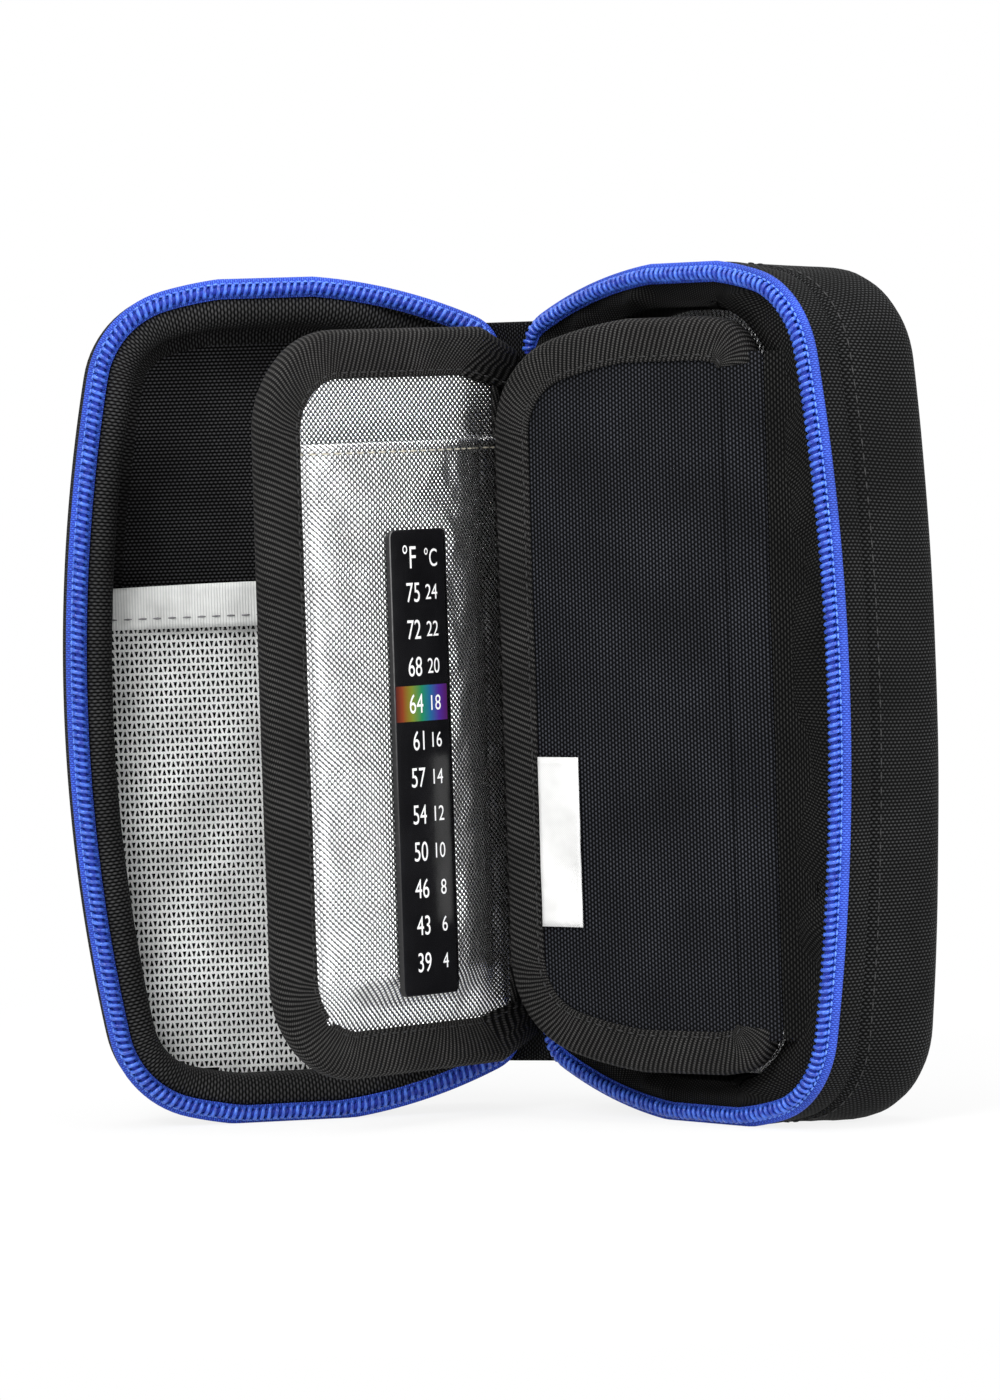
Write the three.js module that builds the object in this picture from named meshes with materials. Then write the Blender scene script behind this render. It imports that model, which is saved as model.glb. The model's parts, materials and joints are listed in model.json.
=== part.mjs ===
// Insulin cooling case: a soft zip case that opens like a book and stands on its lower edge.
// Right half: a padded compartment under a hinged flap. Left half: a shallow lid with a mesh pocket.
// Between them a foil page carries a gel pack and a thermometer strip.
// Units are millimetres, +Z up, the compartment opens towards -Y, the spine is vertical.
import * as THREE from 'three';

// Case outline: a straight spine side, arched top and bottom, a gently curved free side
const CASE_WIDTH = 109;
const CASE_HEIGHT = 207;
const ARCH_APEX = 58;
const SPINE_ARCH_RADIUS = 125;
const FREE_ARCH_RADIUS = 100;
const SIDE_RADIUS = 427;
const SPINE_CORNER_RADIUS = 10;
const FREE_CORNER_RADIUS = 25;
const FOOT_DEPTH = 0.6;
const STRAIGHT_RADIUS = 20000;
const STRAIGHT_FOOT = 0.001;
const LEAST_CORNER = 1.5;

// Depths and layers
const BODY_DEPTH = 40;
const LID_DEPTH = 27;
const BODY_EDGE_RADIUS = 11;
const LID_EDGE_RADIUS = 12;
const FABRIC = 1;
const LINING = 0.8;
const FOIL = 0.6;
const WALL_FOAM = 8;
const SPINE_FOAM = 3;
const FLOOR_FOAM = 5;
const LID_FOAM = 3;
const GAP = 0.3;

// Zip: tape and coil on three sides, sliders at the ends of the lid's chain
const SEAM_DEPTH = 12;
const TAPE_DEPTH = 5;
const TAPE = 0.7;
const COIL_WIDTH = 2.6;
const COIL_HEIGHT = 2.2;
const COIL_PITCH = 4;
const COIL_GROOVE = 0.7;
const COIL_END = 0.001;
const RIM_DROP = 1.7;
const SLIDER_LENGTH = 9;
const SLIDER_WIDTH = 6;
const SLIDER_SHOULDER = 5.4;
const SLIDER_THICKNESS = 1.1;
const TAB_LENGTH = 18;
const TAB_WIDTH = 5;
const TAB_THICKNESS = 0.8;
const TAB_HOLE = 1.2;
const TAB_CLEARANCE = 0.3;

// Spine piping that both halves and the page turn on
const PIPING_RADIUS = 1.7;
const PIPING_CLEARANCE = 0.6;
const PIPING_SIDES = 12;
const LID_ANGLE = 121;

// Padded lip and the compartment flap
const LIP_FALL = 2.8;
const LIP_THICKNESS = 1;
const FLAP_AXIS_U = 88;
const FLAP_AXIS_W = -3;
const FLAP_TIP_U = 10;
const FLAP_HEIGHT = 182;
const FLAP_TIP_CORNER = 24;
const FLAP_HINGE_CORNER = 12;
const FLAP_CORE = 2.4;
const FLAP_LIFT = 14;
const FLAP_PIPING_RADIUS = 1.6;
const LABEL_WIDTH = 12;
const LABEL_HEIGHT = 41;
const LABEL_THICKNESS = 0.5;
const LABEL_CENTRE_V = -35;

// Middle page
const PAGE_ANGLE = 88;
const PAGE_ROOT_U = 9.6;
const PAGE_REACH = 86;
const PAGE_HEIGHT = 180;
const PAGE_ROOT_CORNER = 12;
const PAGE_FREE_CORNER = 25;
const PAGE_CORE = 2.4;
const HINGE_TAPE = 1;
const HINGE_TAPE_HEIGHT = 116;
const BINDING_WIDTH = 10.5;
const BINDING = 0.8;
const SKIN = 0.4;
const POCKET_MARGIN = 5.5;
const POCKET_DROP = 23;
const POCKET_RISE = 6.6;
const POCKET_SHELL = 0.8;
const POCKET_RAMP = 10;
const POCKET_FULLNESS = 2.5;
const HEM_HEIGHT = 6;
const PACK_MARGIN = 8;
const PACK_FOOT_MARGIN = 14;
const PACK_TOP_MARGIN = 12;
const PACK_TAPER = 0.7;
const PACK_FULLNESS = 4;
const STRIP_FOOT_MARGIN = 3.5;
const STRIP_WIDTH = 19;
const STRIP_LENGTH = 112;
const STRIP_THICKNESS = 0.5;

// Lid pocket: a flat net under an elastic band
const NET_TOP_V = 16;
const NET_STAND = 6.5;
const NET_THICKNESS = 0.8;
const NET_CELL_WIDTH = 13;
const NET_CELL_HEIGHT = 12;
const NET_BAR = 1.1;
const NET_BORDER = 2.5;
const BAND_HEIGHT = 10;
const BAND_THICKNESS = 1.4;

// Elastic pen loops on the compartment floor
const LOOP_COUNT = 3;
const LOOP_WIDTH = 17;
const LOOP_RISE = 15.5;
const LOOP_LAND = 6;
const LOOP_BAND = 18;
const LOOP_SPACING_V = 90;
const ELASTIC = 1;

// Facets on each stretch of an outline
const CORNER_STEPS = 5;
const SPINE_ARCH_STEPS = 4;
const FREE_ARCH_STEPS = 3;
const SIDE_STEPS = 6;
const EDGE_STEPS = 3;
const LOOP_STEPS = 7;
const PILLOW_STEPS = 10;
const PILLOW_LINES = 20;
const STRIP_STEPS = 4;
const SLIDER_STEPS = 5;
const TAB_STEPS = 6;

const radians = THREE.MathUtils.degToRad;
const fabric = (color) => new THREE.MeshStandardMaterial({ color, roughness: 0.9, metalness: 0 });
const BLACK = fabric(0x17181b);
const FOAM = fabric(0xd9d9d6);
const BLUE = fabric(0x2448dc);
const GREY = fabric(0xb9bcc0);
const WHITE = fabric(0xf1f1ee);
const SILVER = new THREE.MeshStandardMaterial({ color: 0xc9cbcd, roughness: 0.35, metalness: 0.85 });
const GEL = new THREE.MeshStandardMaterial({ color: 0x9fc4e6, roughness: 0.4, metalness: 0 });
const CARD = new THREE.MeshStandardMaterial({ color: 0x101012, roughness: 0.3, metalness: 0 });
const STEEL = new THREE.MeshStandardMaterial({ color: 0x2a2c30, roughness: 0.4, metalness: 0.9 });

// A panel has a straight side at x = left and a curved one at x = right; u runs from the spine, v is up.
const SPINE_OFFSET = PIPING_RADIUS + PIPING_CLEARANCE;

// The panel left inside a border, which may be thinner beside the straight side
function inside(panel, inset, leftInset = inset) {
  return {
    ...panel,
    left: panel.left + leftInset,
    right: panel.right - inset,
    half: panel.half - inset,
    leftArch: panel.leftArch - inset,
    rightArch: panel.rightArch - inset,
    side: panel.side - inset,
    leftCorner: Math.max(panel.leftCorner - leftInset, LEAST_CORNER),
    rightCorner: Math.max(panel.rightCorner - inset, LEAST_CORNER),
  };
}

const OUTER = {
  left: SPINE_OFFSET,
  right: SPINE_OFFSET + CASE_WIDTH,
  half: CASE_HEIGHT / 2,
  apex: SPINE_OFFSET + ARCH_APEX,
  leftArch: SPINE_ARCH_RADIUS,
  rightArch: FREE_ARCH_RADIUS,
  side: SIDE_RADIUS,
  leftCorner: SPINE_CORNER_RADIUS,
  rightCorner: FREE_CORNER_RADIUS,
  foot: FOOT_DEPTH,
};

// Centre and tangent angles of the corner between a straight side and an arch
function leftCorner({ left, half, apex, leftArch, leftCorner: r }) {
  const x = left + r;
  const y = half - leftArch + Math.sqrt((leftArch - r) ** 2 - (apex - x) ** 2);
  return { x, y, archAngle: Math.atan2(y - half + leftArch, x - apex) };
}

// Centre and tangent angles of the corner between the curved side and an arch: two circles meet there
function rightCorner({ right, half, apex, rightArch, side, rightCorner: r }) {
  const a = new THREE.Vector2(right - side, 0);
  const b = new THREE.Vector2(apex, half - rightArch);
  const reachA = side - r;
  const reachB = rightArch - r;
  const span = a.distanceTo(b);
  const along = (reachA ** 2 - reachB ** 2 + span ** 2) / (2 * span);
  const across = Math.sqrt(reachA ** 2 - along ** 2);
  const step = b.clone().sub(a).divideScalar(span);
  const x = a.x + step.x * along - step.y * across;
  const y = a.y + step.y * along + step.x * across;
  return { x, y, archAngle: Math.atan2(y - b.y, x - b.x), sideAngle: Math.atan2(y, x - a.x) };
}

// Points of a panel's outline from the lower end of its straight side round to the upper end
function outline(border, inset = 0) {
  const panel = inside(border, inset);
  const { half, apex, leftArch, rightArch, side, right, foot } = panel;
  const l = leftCorner(panel);
  const r = rightCorner(panel);
  const footLeft = Math.acos(1 - foot / leftArch);
  const footRight = Math.acos(1 - foot / rightArch);
  const upper = [];
  const arc = (x, y, radius, from, to, steps) => {
    for (let i = 0; i <= steps; i += 1) {
      const angle = from + ((to - from) * i) / steps;
      upper.push(new THREE.Vector2(x + radius * Math.cos(angle), y + radius * Math.sin(angle)));
    }
  };
  arc(right - side, 0, side, 0, r.sideAngle, SIDE_STEPS / 2);
  upper.pop();
  arc(r.x, r.y, panel.rightCorner, r.sideAngle, r.archAngle, CORNER_STEPS);
  upper.pop();
  arc(apex, half - rightArch, rightArch, r.archAngle, Math.PI / 2 - footRight, FREE_ARCH_STEPS);
  arc(apex, half - leftArch, leftArch, Math.PI / 2 + footLeft, l.archAngle, SPINE_ARCH_STEPS);
  upper.pop();
  arc(l.x, l.y, panel.leftCorner, l.archAngle, Math.PI, CORNER_STEPS);
  const lower = upper.slice(1).reverse();
  return [...lower.map((p) => new THREE.Vector2(p.x, -p.y)), ...upper];
}

// A closed body from rings of equal length. With a flat view of a ring its two ends are capped,
// without one the last ring joins the first.
function skin(rows, flat) {
  const n = rows[0].length;
  const count = rows.length;
  const faces = [];
  for (let i = 0; i < (flat ? count - 1 : count); i += 1) {
    for (let j = 0; j < n; j += 1) {
      const next = (j + 1) % n;
      const above = ((i + 1) % count) * n;
      faces.push([i * n + j, i * n + next, above + next], [i * n + j, above + next, above + j]);
    }
  }
  if (flat) {
    for (const row of [0, count - 1]) {
      const contour = rows[row].map(flat);
      const turn = Math.sign(THREE.ShapeUtils.area(contour));
      for (const [a, b, c] of THREE.ShapeUtils.triangulateShape(contour, [])) {
        const same = Math.sign(THREE.ShapeUtils.area([contour[a], contour[b], contour[c]])) === turn;
        const face = [a, b, c].map((k) => row * n + k);
        faces.push(same === row > 0 ? face : face.reverse());
      }
    }
  }
  const points = rows.flat();
  let volume = 0;
  for (const [a, b, c] of faces) {
    volume += points[a].dot(points[b].clone().cross(points[c]));
  }
  const geometry = new THREE.BufferGeometry().setFromPoints(points);
  geometry.setIndex((volume < 0 ? faces.map((face) => face.slice().reverse()) : faces).flat());
  return geometry;
}

const lift = (points, w) => points.map((p) => new THREE.Vector3(p.x, p.y, w));
const plan = (p) => new THREE.Vector2(p.x, p.y);

// Flat sheet between two levels
function plate(points, low, high, holes = []) {
  const shape = new THREE.Shape(points);
  shape.holes = holes.map((hole) => new THREE.Path(hole));
  const geometry = new THREE.ExtrudeGeometry(shape, { depth: high - low, bevelEnabled: false });
  return geometry.translate(0, 0, low);
}

// A section of [panel, inset, w] corners carried round the whole outline, or from stop to stop along it
function band(section, stops) {
  const lines = section.map(([panel, inset]) => outline(panel, inset));
  const route = stops ?? lines[0].keys().toArray();
  const corner = (i) => ([, , w], k) => new THREE.Vector3(lines[k][i].x, lines[k][i].y, w);
  const rows = route.map((i) => section.map(corner(i)));
  const across = (p, k) => new THREE.Vector2(section[k][1], section[k][2]);
  return skin(rows, stops ? across : undefined);
}

// Quarter-round of a soft edge, from the wall at w = top down to the flat at w = floor
function edgeSection(panel, radius, inset, floor) {
  const section = [];
  for (let i = 0; i <= EDGE_STEPS; i += 1) {
    const angle = (Math.PI / 2) * (i / EDGE_STEPS);
    const reach = radius - inset;
    section.push([panel, radius - reach * Math.cos(angle), floor + radius - reach * Math.sin(angle)]);
  }
  return section;
}

// Stops along an outline: all of it but the straight side, the part past the corners beside that side,
// and the part that leaves out the curved side and its corners
const ALL_STOPS = outline(OUTER).keys().toArray();
const ROOT_TO_ROOT = ALL_STOPS.slice(CORNER_STEPS, ALL_STOPS.length - CORNER_STEPS);
const SIDE_END = (ALL_STOPS.length - 1) / 2 + SIDE_STEPS / 2 + CORNER_STEPS;
const ROUND_THE_TIP = [...ALL_STOPS.slice(SIDE_END), ...ALL_STOPS.slice(0, ALL_STOPS.length - SIDE_END)];

// The other hand of a solid, across the spine
function mirror(geometry) {
  const solid = geometry.index ? geometry.toNonIndexed() : geometry;
  solid.scale(-1, 1, 1);
  const { position } = solid.attributes;
  for (let i = 0; i < position.count; i += 3) {
    const second = new THREE.Vector3().fromBufferAttribute(position, i + 1);
    const third = new THREE.Vector3().fromBufferAttribute(position, i + 2);
    position.setXYZ(i + 1, ...third);
    position.setXYZ(i + 2, ...second);
  }
  return solid;
}

function add(group, name, geometry, material) {
  const mesh = new THREE.Mesh(geometry, material);
  mesh.name = name;
  group.add(mesh);
  return mesh;
}

// Side wall with its soft edge, and the flat panel that fills it
function sideWall(depth, radius, top) {
  const outer = edgeSection(OUTER, radius, 0, -depth);
  const inner = edgeSection(OUTER, radius, FABRIC, -depth).reverse();
  return band([[OUTER, 0, -top], ...outer, ...inner, [OUTER, FABRIC, -top]]);
}

function endPanel(depth, radius) {
  return plate(outline(OUTER, radius + GAP), -depth, -depth + FABRIC);
}

function zipTape() {
  const section = [[0, -TAPE_DEPTH], [0, -GAP], [TAPE, -GAP], [TAPE, -TAPE_DEPTH]];
  return band(section.map(([inset, w]) => [OUTER, inset, w]), ALL_STOPS);
}

function spineStrip(depth) {
  const { left } = OUTER;
  const reach = leftCorner(OUTER).y - GAP;
  const corners = [[left, -reach], [left + FABRIC, -reach], [left + FABRIC, reach], [left, reach]];
  return plate(corners.map(([x, y]) => new THREE.Vector2(x, y)), -depth, -RIM_DROP);
}

// Zip coil: a strip whose crests and grooves follow one another at the coil's pitch
function zipCoil() {
  const middle = outline(OUTER, TAPE + GAP + COIL_WIDTH / 2);
  const path = new THREE.CurvePath();
  for (let i = 1; i < middle.length; i += 1) {
    path.add(new THREE.LineCurve(middle[i - 1], middle[i]));
  }
  const steps = 2 * Math.round(path.getLength() / COIL_PITCH);
  const rows = [];
  for (let i = 0; i <= steps; i += 1) {
    const groove = i % 2 === 0 ? COIL_GROOVE : 0;
    const at = path.getPoint(i / steps);
    const heading = path.getTangent(THREE.MathUtils.clamp(i / steps, COIL_END, 1 - COIL_END));
    const inward = new THREE.Vector2(-heading.y, heading.x);
    const half = COIL_WIDTH / 2 - groove / 2;
    const low = -GAP - COIL_HEIGHT;
    const corner = (side, w) => new THREE.Vector3(at.x + inward.x * side, at.y + inward.y * side, w);
    const high = -GAP - groove;
    rows.push([corner(-half, low), corner(-half, high), corner(half, high), corner(half, low)]);
  }
  const across = (p, k) => new THREE.Vector2([0, 0, 1, 1][k], [0, 1, 1, 0][k]);
  return skin(rows, across);
}

// Insulating tray: a rounded outside, a flat top under the zip and a pocket inside
function foamTray(depth, radius, pocket, floor, innerTop) {
  const shell = FABRIC + GAP;
  const coilFoot = -(GAP + COIL_HEIGHT + GAP);
  const outside = edgeSection(OUTER, radius, shell, -depth).reverse();
  const shoulder = outline(OUTER, TAPE + GAP + COIL_WIDTH + GAP);
  const rows = outside.map(([panel, inset, w]) => lift(outline(panel, inset), w));
  rows.push(lift(outline(OUTER, shell), coilFoot), lift(shoulder, coilFoot));
  rows.push(lift(outline(pocket), innerTop), lift(outline(pocket), -depth + shell + floor));
  return skin(rows, plan);
}

function liner(pocket, thickness, floor, top) {
  const outer = outline(pocket, GAP);
  const inner = outline(pocket, GAP + thickness);
  const base = floor + GAP;
  return skin([lift(outer, base), lift(outer, top), lift(inner, top), lift(inner, base + thickness)], plan);
}

// The case half that holds the compartment
const BODY_POCKET = inside(OUTER, FABRIC + GAP + WALL_FOAM, FABRIC + GAP + SPINE_FOAM);
const BODY_FLOOR = -BODY_DEPTH + FABRIC + GAP + FLOOR_FOAM;
const LIP_OUTER = TAPE + GAP + COIL_WIDTH + GAP;
const LIP_TOP = -RIM_DROP;
const LINER_TOP = LIP_TOP - LIP_FALL - LIP_THICKNESS - GAP;
const FLAP_LIP_U = FLAP_AXIS_U + FLAP_PIPING_RADIUS + GAP;

function lipFacing() {
  const reach = GAP + FOIL;
  const hingeSide = { right: FLAP_LIP_U + reach, side: STRAIGHT_RADIUS, rightCorner: FLAP_HINGE_CORNER };
  const mouth = { ...BODY_POCKET, ...hingeSide };
  return band([
    [OUTER, LIP_OUTER, LIP_TOP],
    [mouth, reach, LIP_TOP - LIP_FALL],
    [mouth, reach, LIP_TOP - LIP_FALL - LIP_THICKNESS],
    [OUTER, LIP_OUTER, LIP_TOP - LIP_THICKNESS],
  ]);
}

function penLoops() {
  const pitch = LOOP_WIDTH + LOOP_LAND;
  const half = (LOOP_COUNT * pitch + LOOP_LAND) / 2;
  const shape = new THREE.Shape();
  shape.moveTo(-half, 0);
  const centres = Array.from({ length: LOOP_COUNT }, (_, i) => (i - (LOOP_COUNT - 1) / 2) * pitch);
  for (const x of centres) {
    shape.lineTo(x - LOOP_WIDTH / 2, 0);
    shape.absellipse(x, 0, LOOP_WIDTH / 2, LOOP_RISE, Math.PI, 0, true);
  }
  shape.lineTo(half, 0);
  shape.lineTo(half, ELASTIC);
  const start = Math.asin(ELASTIC / (LOOP_RISE + ELASTIC));
  for (const x of centres.reverse()) {
    shape.absellipse(x, 0, LOOP_WIDTH / 2 + ELASTIC, LOOP_RISE + ELASTIC, start, Math.PI - start, false);
  }
  shape.lineTo(-half, ELASTIC);
  const options = { depth: LOOP_BAND, bevelEnabled: false, curveSegments: LOOP_STEPS };
  return new THREE.ExtrudeGeometry(shape, options).translate(0, 0, -LOOP_BAND / 2);
}

function makeBody() {
  const body = new THREE.Group();
  add(body, 'body_back_panel', endPanel(BODY_DEPTH, BODY_EDGE_RADIUS), BLACK);
  add(body, 'body_side_wall', sideWall(BODY_DEPTH, BODY_EDGE_RADIUS, SEAM_DEPTH + GAP), BLACK);
  const underTape = -TAPE_DEPTH - GAP;
  const gusset = [[0, -SEAM_DEPTH], [0, underTape], [FABRIC, underTape], [FABRIC, -SEAM_DEPTH]];
  add(body, 'body_zip_gusset', band(gusset.map(([inset, w]) => [OUTER, inset, w])), BLACK);
  add(body, 'body_zip_tape', zipTape(), BLUE);
  add(body, 'body_zip_coil', zipCoil(), BLUE);
  add(body, 'body_spine_strip', spineStrip(TAPE_DEPTH), BLACK);
  const foamTop = LIP_TOP - LIP_FALL - LIP_THICKNESS - GAP;
  add(body, 'body_foam', foamTray(BODY_DEPTH, BODY_EDGE_RADIUS, BODY_POCKET, FLOOR_FOAM, foamTop), FOAM);
  add(body, 'body_foil_lining', liner(BODY_POCKET, FOIL, BODY_FLOOR, LINER_TOP), SILVER);
  add(body, 'body_lip_facing', lipFacing(), BLACK);
  const length = 2 * leftCorner(OUTER).y;
  const piping = new THREE.CylinderGeometry(PIPING_RADIUS, PIPING_RADIUS, length, PIPING_SIDES);
  add(body, 'spine_piping', piping, BLACK);
  for (const [name, side] of [['upper', 1], ['lower', -1]]) {
    const loops = add(body, `pen_loop_band_${name}`, penLoops(), BLACK);
    loops.rotation.x = Math.PI / 2;
    const middle = (BODY_POCKET.left + BODY_POCKET.right) / 2;
    loops.position.set(middle, (side * LOOP_SPACING_V) / 2, BODY_FLOOR + GAP + FOIL + GAP);
  }
  return body;
}

// The shallow half, drawn to the body's outline, mirrored across the spine and swung open
const LID_POCKET = inside(OUTER, FABRIC + GAP + LID_FOAM);
const LID_FLOOR = -LID_DEPTH + FABRIC + GAP + LID_FOAM;

function clipped(points, low, high) {
  const kept = [];
  points.forEach((p, i) => {
    const q = points[(i + 1) % points.length];
    if (p.y >= low && p.y <= high) kept.push(p.clone());
    for (const level of p.y < q.y ? [low, high] : [high, low]) {
      if ((p.y - level) * (q.y - level) < 0) kept.push(p.clone().lerp(q, (level - p.y) / (q.y - p.y)));
    }
  });
  return kept;
}

function meshNet(edge, plane) {
  const field = clipped(outline(edge, NET_BORDER), -CASE_HEIGHT, NET_TOP_V - NET_BORDER);
  const contains = (p) => field.reduce((odd, a, i) => {
    const b = field[(i + 1) % field.length];
    const crosses = a.y > p.y !== b.y > p.y && p.x < a.x + ((b.x - a.x) * (p.y - a.y)) / (b.y - a.y);
    return crosses ? !odd : odd;
  }, false);
  const halfWidth = NET_CELL_WIDTH / 2 - NET_BAR;
  const halfHeight = NET_CELL_HEIGHT / 2 - NET_BAR;
  const holes = [];
  const rows = Math.ceil((2 * CASE_HEIGHT) / NET_CELL_HEIGHT);
  const columns = Math.ceil(CASE_WIDTH / NET_CELL_WIDTH);
  for (let row = 0; row < rows; row += 1) {
    for (let column = 0; column <= columns; column += 1) {
      const x = edge.left + (column + (row % 2) / 2) * NET_CELL_WIDTH;
      const y = NET_TOP_V - NET_BORDER - (row + 1) * (NET_CELL_HEIGHT / 2);
      const cell = [[0, -halfHeight], [halfWidth, 0], [0, halfHeight], [-halfWidth, 0]];
      const hole = cell.map(([a, b]) => new THREE.Vector2(x + a, y + b));
      if (hole.every(contains)) holes.push(hole);
    }
  }
  return plate(clipped(outline(edge), -CASE_HEIGHT, NET_TOP_V), plane, plane + NET_THICKNESS, holes);
}

function zipSlider() {
  const shape = new THREE.Shape();
  const half = SLIDER_WIDTH / 2;
  shape.moveTo(-half, 0);
  shape.lineTo(-half, SLIDER_SHOULDER);
  shape.quadraticCurveTo(-half, SLIDER_LENGTH, 0, SLIDER_LENGTH);
  shape.quadraticCurveTo(half, SLIDER_LENGTH, half, SLIDER_SHOULDER);
  shape.lineTo(half, 0);
  const options = { depth: SLIDER_THICKNESS, bevelEnabled: false, curveSegments: SLIDER_STEPS };
  return new THREE.ExtrudeGeometry(shape, options);
}

function pullTab() {
  const shape = new THREE.Shape();
  const half = TAB_WIDTH / 2;
  shape.absarc(0, -TAB_LENGTH + half, half, Math.PI, 2 * Math.PI, false);
  shape.absarc(0, 0, half, 0, Math.PI, false);
  const hole = new THREE.Path().absarc(0, 0, TAB_HOLE, 0, 2 * Math.PI, true);
  shape.holes = [hole];
  const options = { depth: TAB_THICKNESS, bevelEnabled: false, curveSegments: TAB_STEPS };
  return new THREE.ExtrudeGeometry(shape, options);
}

// Sliders wait on the spine side of the lid, at the ends of its chain, with their tabs hanging
const SLIDER_W = -(TAPE_DEPTH + FABRIC);

function hangSlider(lid, name, foot) {
  const slider = add(lid, `zip_slider_${name}`, zipSlider(), STEEL);
  slider.rotation.y = Math.PI / 2;
  const sliderU = -SPINE_OFFSET + GAP;
  slider.position.set(sliderU, foot, SLIDER_W);
  const tab = add(lid, `pull_tab_${name}`, pullTab(), STEEL);
  tab.rotation.y = Math.PI / 2;
  tab.position.set(sliderU + SLIDER_THICKNESS + TAB_CLEARANCE, foot + SLIDER_LENGTH / 2, SLIDER_W);
}

function makeLid() {
  const lid = new THREE.Group();
  const foamTop = -(GAP + COIL_HEIGHT + GAP);
  const edge = inside(OUTER, FABRIC + GAP + LID_FOAM + GAP + LINING + GAP);
  const plane = LID_FLOOR + GAP + LINING + NET_STAND;
  const bandPoints = clipped(outline(edge), NET_TOP_V + GAP, NET_TOP_V + GAP + BAND_HEIGHT);
  const foam = foamTray(LID_DEPTH, LID_EDGE_RADIUS, LID_POCKET, LID_FOAM, foamTop);
  add(lid, 'lid_front_panel', mirror(endPanel(LID_DEPTH, LID_EDGE_RADIUS)), BLACK);
  add(lid, 'lid_side_wall', mirror(sideWall(LID_DEPTH, LID_EDGE_RADIUS, TAPE_DEPTH + GAP)), BLACK);
  add(lid, 'lid_zip_tape', mirror(zipTape()), BLUE);
  add(lid, 'lid_zip_coil', mirror(zipCoil()), BLUE);
  add(lid, 'lid_spine_strip', mirror(spineStrip(TAPE_DEPTH)), BLACK);
  add(lid, 'lid_foam', mirror(foam), FOAM);
  add(lid, 'lid_lining', mirror(liner(LID_POCKET, LINING, LID_FLOOR, -RIM_DROP)), BLACK);
  add(lid, 'mesh_pocket', mirror(meshNet(edge, plane)), GREY);
  add(lid, 'mesh_pocket_band', mirror(plate(bandPoints, plane, plane + BAND_THICKNESS)), GREY);
  const chainEnd = leftCorner(OUTER).y - GAP;
  hangSlider(lid, 'upper', chainEnd - SLIDER_LENGTH);
  hangSlider(lid, 'lower', -chainEnd);
  lid.rotation.y = Math.PI - radians(LID_ANGLE);
  return lid;
}

// Bound leaf: a foam core between two skins, its edge held in a folded binding
function makeLeaf(group, prefix, panel, root, core, stops, names) {
  const points = outline({ ...inside(panel, BINDING + GAP), ...root });
  const face = core / 2 + GAP;
  const top = face + SKIN + GAP + BINDING;
  const fold = [[0, -top], [0, top], [BINDING_WIDTH, top], [BINDING_WIDTH, top - BINDING]];
  const under = [[BINDING, top - BINDING], [BINDING, BINDING - top]];
  const back = [[BINDING_WIDTH, BINDING - top], [BINDING_WIDTH, -top]];
  const section = [...fold, ...under, ...back].map(([inset, level]) => [panel, inset, level]);
  add(group, `${prefix}_core`, plate(points, -core / 2, core / 2), FOAM);
  add(group, names.upper, plate(points, face, face + SKIN), BLACK);
  add(group, names.lower, plate(points, -face - SKIN, -face), SILVER);
  add(group, `${prefix}_binding`, band(section, stops), BLACK);
}

// Page: its silver side faces the compartment
const PAGE = {
  left: PAGE_ROOT_U,
  right: PAGE_REACH,
  half: PAGE_HEIGHT / 2,
  apex: (PAGE_ROOT_U + PAGE_ROOT_CORNER + PAGE_REACH - PAGE_FREE_CORNER) / 2,
  leftArch: STRAIGHT_RADIUS,
  rightArch: STRAIGHT_RADIUS,
  side: STRAIGHT_RADIUS,
  leftCorner: PAGE_ROOT_CORNER,
  rightCorner: PAGE_FREE_CORNER,
  foot: STRAIGHT_FOOT,
};
const POCKET_BASE = PAGE_CORE / 2 + GAP + SKIN + GAP;
const PACK_BASE = POCKET_BASE + BINDING + GAP;
const POCKET_LEFT_U = PAGE_ROOT_U + POCKET_MARGIN;
const POCKET_RIGHT_U = PAGE_REACH - BINDING_WIDTH - POCKET_MARGIN;
const POCKET_FOOT_V = -(PAGE_HEIGHT / 2 - BINDING_WIDTH - POCKET_MARGIN);
const POCKET_MOUTH_V = PAGE_HEIGHT / 2 - BINDING_WIDTH - POCKET_DROP;

// How far the pocket stands off the page
function pocketRise(u, v) {
  const across = (u - POCKET_LEFT_U) / (POCKET_RIGHT_U - POCKET_LEFT_U);
  const round = 1 - Math.abs(2 * across - 1) ** POCKET_FULLNESS;
  return POCKET_RISE * round * THREE.MathUtils.smoothstep(v, POCKET_FOOT_V, POCKET_FOOT_V + POCKET_RAMP);
}

// A padded sheet over a patch of the page: both faces are given as heights off the page
function patch([left, right], [low, high], columns, lines, inner, outer) {
  const rows = [];
  for (let i = 0; i <= lines; i += 1) {
    const v = low + ((high - low) * i) / lines;
    const stops = Array.from({ length: columns + 1 }, (_, k) => left + ((right - left) * k) / columns);
    const near = stops.map((u) => new THREE.Vector3(u, v, -inner(u, v)));
    const far = stops.map((u) => new THREE.Vector3(u, v, -outer(u, v)));
    rows.push([...near, ...far.reverse()]);
  }
  return skin(rows, (p) => new THREE.Vector2(p.x, p.z));
}

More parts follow.
